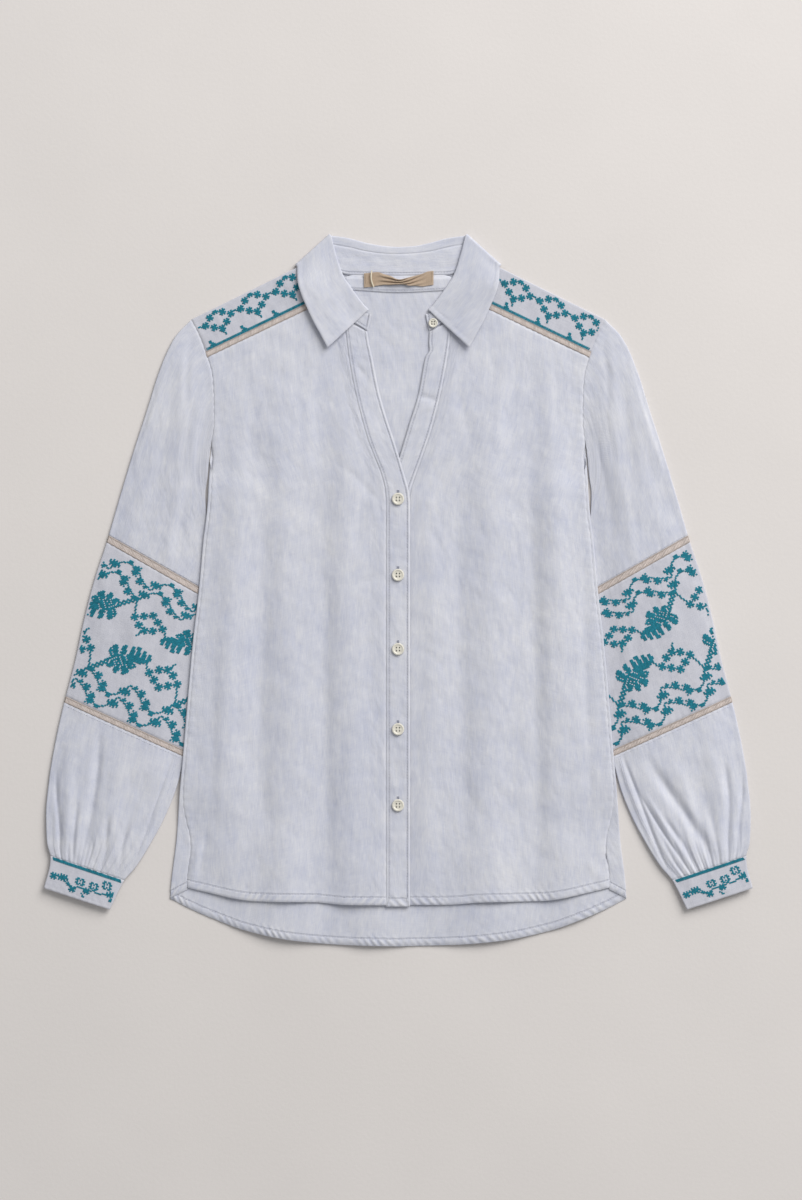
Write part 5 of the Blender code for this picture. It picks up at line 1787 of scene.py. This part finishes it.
class SHIRT_OT_sleeves(bpy.types.Operator):
    """Make both sleeves: upper part, embroidered insert, braids, gathered lower part and cuff"""

    bl_idname = "shirt.sleeves"
    bl_label = "Sleeves"

    def execute(self, context):
        for side, word in WORDS.items():
            self.tubes(context, side, word)
            self.insert_embroidery(context, side, word)
            self.cuff_embroidery(context, side, word)
            self.sewing(context, side, word)
        return {"FINISHED"}

    def tubes(self, context, side, word):
        """The sleeve's stretches from the armhole to the cuff: start, end, rows, points across, slot."""
        stretches = (
            ("sleeve_upper_", 0.0, UPPER_BRAID[0], 96, 90, CLOTH_SLOT),
            ("sleeve_braid_upper_", *UPPER_BRAID, 7, 90, BRAID_SLOT),
            ("sleeve_panel_", UPPER_BRAID[1], LOWER_BRAID[0], 64, 90, PANEL_SLOT),
            ("sleeve_braid_lower_", *LOWER_BRAID, 7, 90, BRAID_SLOT),
            ("sleeve_lower_", LOWER_BRAID[1], CUFF_AT, 84, 170, CLOTH_SLOT),
            ("cuff_", CUFF_AT, CUFF_END, 20, 90, PANEL_SLOT),
        )
        for part, start, end, rows, across, slot in stretches:
            places = np.linspace(start + RING_GAP * (start > 0), end - RING_GAP, rows)
            grid = sleeve_tube(side, places, across, self.relief_of(part))
            sewn_rows = BRAID_ROWS if slot == BRAID_SLOT else ()
            cloth_piece(context, part + word, grid, slot, sewn_rows, True)

    def relief_of(self, part):
        """The heights that a stretch's seams and hems add to its upper layer."""
        def cuff(top):
            return hem(top, "foot", 5.0, 0.25, 0.15, 8.0) - 0.2 * np.exp(-edge_distance(top, "top"))

        def braid(top):
            return np.full(top.shape[:2], BRAID_RISE)

        def seams(top):
            upper, lower = (seam_dip(top, edge, 0.3, 1.0, 0.16, 7.0) for edge in ("top", "foot"))
            return upper * (edge_distance(top, "foot") > 0) + lower

        if part == "cuff_":
            return cuff
        return braid if "braid" in part else seams

    def insert_embroidery(self, context, side, word):
        """The insert's design, run off the grain and wrapped onto the sleeve's upper layer."""
        start = UPPER_BRAID[1]

        def place(u, v):
            along = u if side < 0 else SLEEVE_SHIFT[1] - u
            at = start + (LOWER_BRAID[0] - start) * v / PANEL_LENGTH
            _, _, width, _ = sleeve_frame(at)
            share = (along - PANEL_SHEAR * v) / width
            inside = (share > 0.004) & (share < 0.99) & (v > PANEL_MARGIN) & (v < PANEL_LENGTH - PANEL_MARGIN)
            points = sleeve_top(side, at, np.clip(share, 0.0, 1.0))
            points[..., 2] += drawn_thickness(context) / 2
            inside &= np.abs(points[..., 0]) > body_edge(points[..., 1]) - 5.0
            return points, inside

        parts = [crosses(sleeve_design(), SLEEVE_PITCH, place)]
        embroider(context, "sleeve_panel_" + word + "_embroidery", parts, CROSS_THREAD)

    def cuff_embroidery(self, context, side, word):
        """The cuff's vine, and a close row of stitches along its top."""
        def place(u, v):
            at = CUFF_AT + (CUFF_END - CUFF_AT) * v / CUFF_LENGTH
            _, _, width, _ = sleeve_frame(at)
            share = u / width if side < 0 else 1.0 - u / width
            inside = (share > 0.01) & (share < 0.99) & (v > -0.1) & (v < CUFF_LENGTH - 2.0)
            points = sleeve_top(side, np.maximum(at, CUFF_AT), np.clip(share, 0.0, 1.0))
            points[..., 2] += drawn_thickness(context) / 2
            return points, inside

        parts = [crosses(cuff_design(), CUFF_PITCH, place), edge_row(place, 0.8, 81.5, 0.9, 0.2, 2.5)]
        embroider(context, "cuff_" + word + "_embroidery", parts, CUFF_THREAD)

    def sewing(self, context, side, word):
        """Topstitching beside the braids and along the underarm seam, and the braids' threads."""
        share = shares(200)
        pitch = context.scene.shirt_trim.stitch / MM
        beside = (UPPER_BRAID[0] - BRAID_STITCH, LOWER_BRAID[1] + BRAID_STITCH)
        lines = [sleeve_top(side, at, share) for at in beside]
        at = np.linspace(LOWER_BRAID[1] + 0.004, CUFF_AT - 0.003, 200)
        _, _, width, _ = sleeve_frame(at)
        lines += [sleeve_top(side, at, 1.0 - inset / width) for inset in UNDERARM_ROWS]
        runs = [running_stitches((line, plain_up(line)), pitch) for line in lines]
        sewn("sleeve_" + word + "_stitching", runs, TOP_THREAD, drawn_thickness(context), CLOTH_SLOT,
             thread_finish(context))
        braids = []
        for start, end in (UPPER_BRAID, LOWER_BRAID):
            places = np.linspace(start + RING_GAP, end - RING_GAP, 7)[:, None]
            top = sleeve_top(side, places, share[None])
            top[..., 2] += BRAID_RISE
            braids.append(top)
        braid_sewing(context, "sleeve_" + word + "_braid", braids)


class SHIRT_OT_buttons(bpy.types.Operator):
    """Finish the buttons, and make their threads, the painted shade in their holes, and the buttonholes"""

    bl_idname = "shirt.buttons"
    bl_label = "Buttons"

    def execute(self, context):
        colour = tuple(context.scene.shirt_trim.horn)
        finish = paint("pale_horn", horn, shade(colour, 0.8), shade(colour, 1.15))
        # Near-black bars in the four holes are painted shade of the holes
        dark = paint("button_hole_thread", spun, *HOLE_SHADE_COLOURS)
        pale = paint("button_thread", spun, *BUTTON_THREAD_COLOURS)
        for ending in [*range(1, len(BUTTON_HEIGHTS) + 1), "collar"]:
            name = "button_" + str(ending)
            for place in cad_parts[name].material_slots:
                place.material = finish
            low, high = (np.array(corner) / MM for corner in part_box(name))
            middle = (low + high) / 2
            reach = (high[0] - low[0]) * HOLE_SHARE
            face = low[2] + BUTTON_FACE
            corners = [(middle[0] + a * reach, middle[1] + b * reach, face) for a in (-1, 1) for b in (-1, 1)]
            spots = np.array(corners)
            half = np.array((0.0, HOLE_SHADE_HALF, 0.0))
            # Painted shade: a short near-black bar in each hole
            threads(name + "_hole_threads", spots - half, spots + half, plain_up(spots), HOLE_SHADE_SIZE,
                    "button_horn", dark)
            starts = np.array([(middle[0] + a * reach, middle[1] - reach + 0.5, face) for a in (-1, 1)])
            ends = starts + np.array((0.0, 2 * reach - 1.0, 0.0))
            threads(name + "_thread", starts, ends, plain_up(starts), BUTTON_THREAD, "button_horn", pale)
        self.buttonholes(context)
        return {"FINISHED"}

    def buttonholes(self, context):
        """Worked slits in the upper placket: two columns of close thread and a bar at each end."""
        starts = []
        ends = []
        for y in BUTTON_HEIGHTS:
            rungs = np.arange(*SLIT) + y
            for way in (-1, 1):
                starts.append(stack(BUTTON_X + way * SLIT_INNER, rungs, 0.0))
                ends.append(stack(BUTTON_X + way * SLIT_OUTER, rungs, 0.0))
            for foot in (rungs[0] - BAR_PAST, rungs[-1] + BAR_PAST):
                starts.append(np.array([(BUTTON_X - BAR_HALF, foot, 0.0)]))
                ends.append(np.array([(BUTTON_X + BAR_HALF, foot, 0.0)]))
        starts = np.concatenate(starts)
        ends = np.concatenate(ends)
        for points in (starts, ends):
            x, y, _ = points.T
            points[:, 2] = body_height(x, y) + PLACKET_RISE + lap(x, y)
            points[:, 2] += drawn_thickness(context) / 2
        deep = shade(tuple(context.scene.shirt_cloth.dark), 0.35)
        thread = paint("buttonhole_thread", spun, deep, shade(deep, 2.2))
        threads("buttonholes", starts, ends, plain_up(starts), SLIT_THREAD, CLOTH_SLOT, thread)


class SHIRT_OT_stage(bpy.types.Operator):
    """Make the floor, the soft lights and the camera straight above"""

    bl_idname = "shirt.stage"
    bl_label = "Stage"

    def execute(self, context):
        stage = context.scene.shirt_stage
        self.floor(context, stage)
        self.lights(context, stage)
        self.camera(context, stage)
        return {"FINISHED"}

    def floor(self, context, stage):
        """A wide plain floor under the shirt."""
        corners = [(x * FLOOR_REACH, y * FLOOR_REACH, 0.0) for x, y in ((-1, -1), (1, -1), (1, 1), (-1, 1))]
        mesh = bpy.data.meshes.new("floor")
        mesh.from_pydata(corners, [], [(0, 1, 2, 3)])
        obj = bpy.data.objects.new("floor", mesh)
        context.scene.collection.objects.link(obj)
        colour = tuple(stage.floor)
        mesh.materials.append(plaster("pale_floor", shade(colour, 0.96), shade(colour, 1.04)))

    def lights(self, context, stage):
        """A large soft light at the upper right and an even fill."""
        lamp = bpy.data.lights.new("key_light", "AREA")
        lamp.shape = "SQUARE"
        lamp.size = LAMP_SIZE
        lamp.energy = stage.key
        lamp.color = LAMP_TINT
        key = bpy.data.objects.new("key_light", lamp)
        key.location = LAMP_PLACE
        context.scene.collection.objects.link(key)
        key.rotation_mode = "QUATERNION"
        key.rotation_quaternion = (-key.location).to_track_quat("-Z", "Y")
        world = bpy.data.worlds.new("studio")
        world.use_nodes = True
        background = world.node_tree.nodes["Background"]
        background.inputs["Color"].default_value = SKY_TINT
        background.inputs["Strength"].default_value = stage.fill
        context.scene.world = world
        context.scene.view_settings.view_transform = "Standard"

    def camera(self, context, stage):
        """A long lens straight above, framed on the photograph's middle."""
        lens = bpy.data.cameras.new("camera")
        lens.type = "PERSP"
        lens.lens = stage.lens
        lens.sensor_width = SENSOR_WIDTH
        lens.dof.use_dof = False
        lens.clip_end = VIEW_END
        camera = bpy.data.objects.new("camera", lens)
        camera.location = (*CAMERA_PLACE, stage.frame_height * stage.lens / lens.sensor_width)
        context.scene.collection.objects.link(camera)
        context.scene.camera = camera


class SHIRT_PT_panel(bpy.types.Panel):
    """Lists the steps and their sizes and colours"""

    bl_label = "Folk Shirt"
    bl_idname = "SHIRT_PT_panel"
    bl_space_type = "VIEW_3D"
    bl_region_type = "UI"
    bl_category = "Folk Shirt"

    def draw(self, context):
        for step in STEPS:
            self.layout.operator(step.bl_idname)
        for group in (context.scene.shirt_cloth, context.scene.shirt_trim, context.scene.shirt_stage):
            box = self.layout.box()
            for key in group.bl_rna.properties.keys():
                if key not in ("rna_type", "name"):
                    box.prop(group, key)


STEPS = (SHIRT_OT_body, SHIRT_OT_yokes, SHIRT_OT_collar, SHIRT_OT_label, SHIRT_OT_sleeves, SHIRT_OT_buttons,
         SHIRT_OT_stage)
GROUPS = {"shirt_cloth": ShirtCloth, "shirt_trim": ShirtTrim, "shirt_stage": ShirtStage}


def register():
    for group in GROUPS.values():
        bpy.utils.register_class(group)
    for name, group in GROUPS.items():
        setattr(bpy.types.Scene, name, bpy.props.PointerProperty(type=group))
    for step in STEPS:
        bpy.utils.register_class(step)
    bpy.utils.register_class(SHIRT_PT_panel)


def unregister():
    bpy.utils.unregister_class(SHIRT_PT_panel)
    for step in reversed(STEPS):
        bpy.utils.unregister_class(step)
    for name, group in GROUPS.items():
        delattr(bpy.types.Scene, name)
        bpy.utils.unregister_class(group)


def main():
    register()
    for step in STEPS:
        group, action = step.bl_idname.split(".")
        getattr(getattr(bpy.ops, group), action)()


if __name__ == "__main__":
    main()
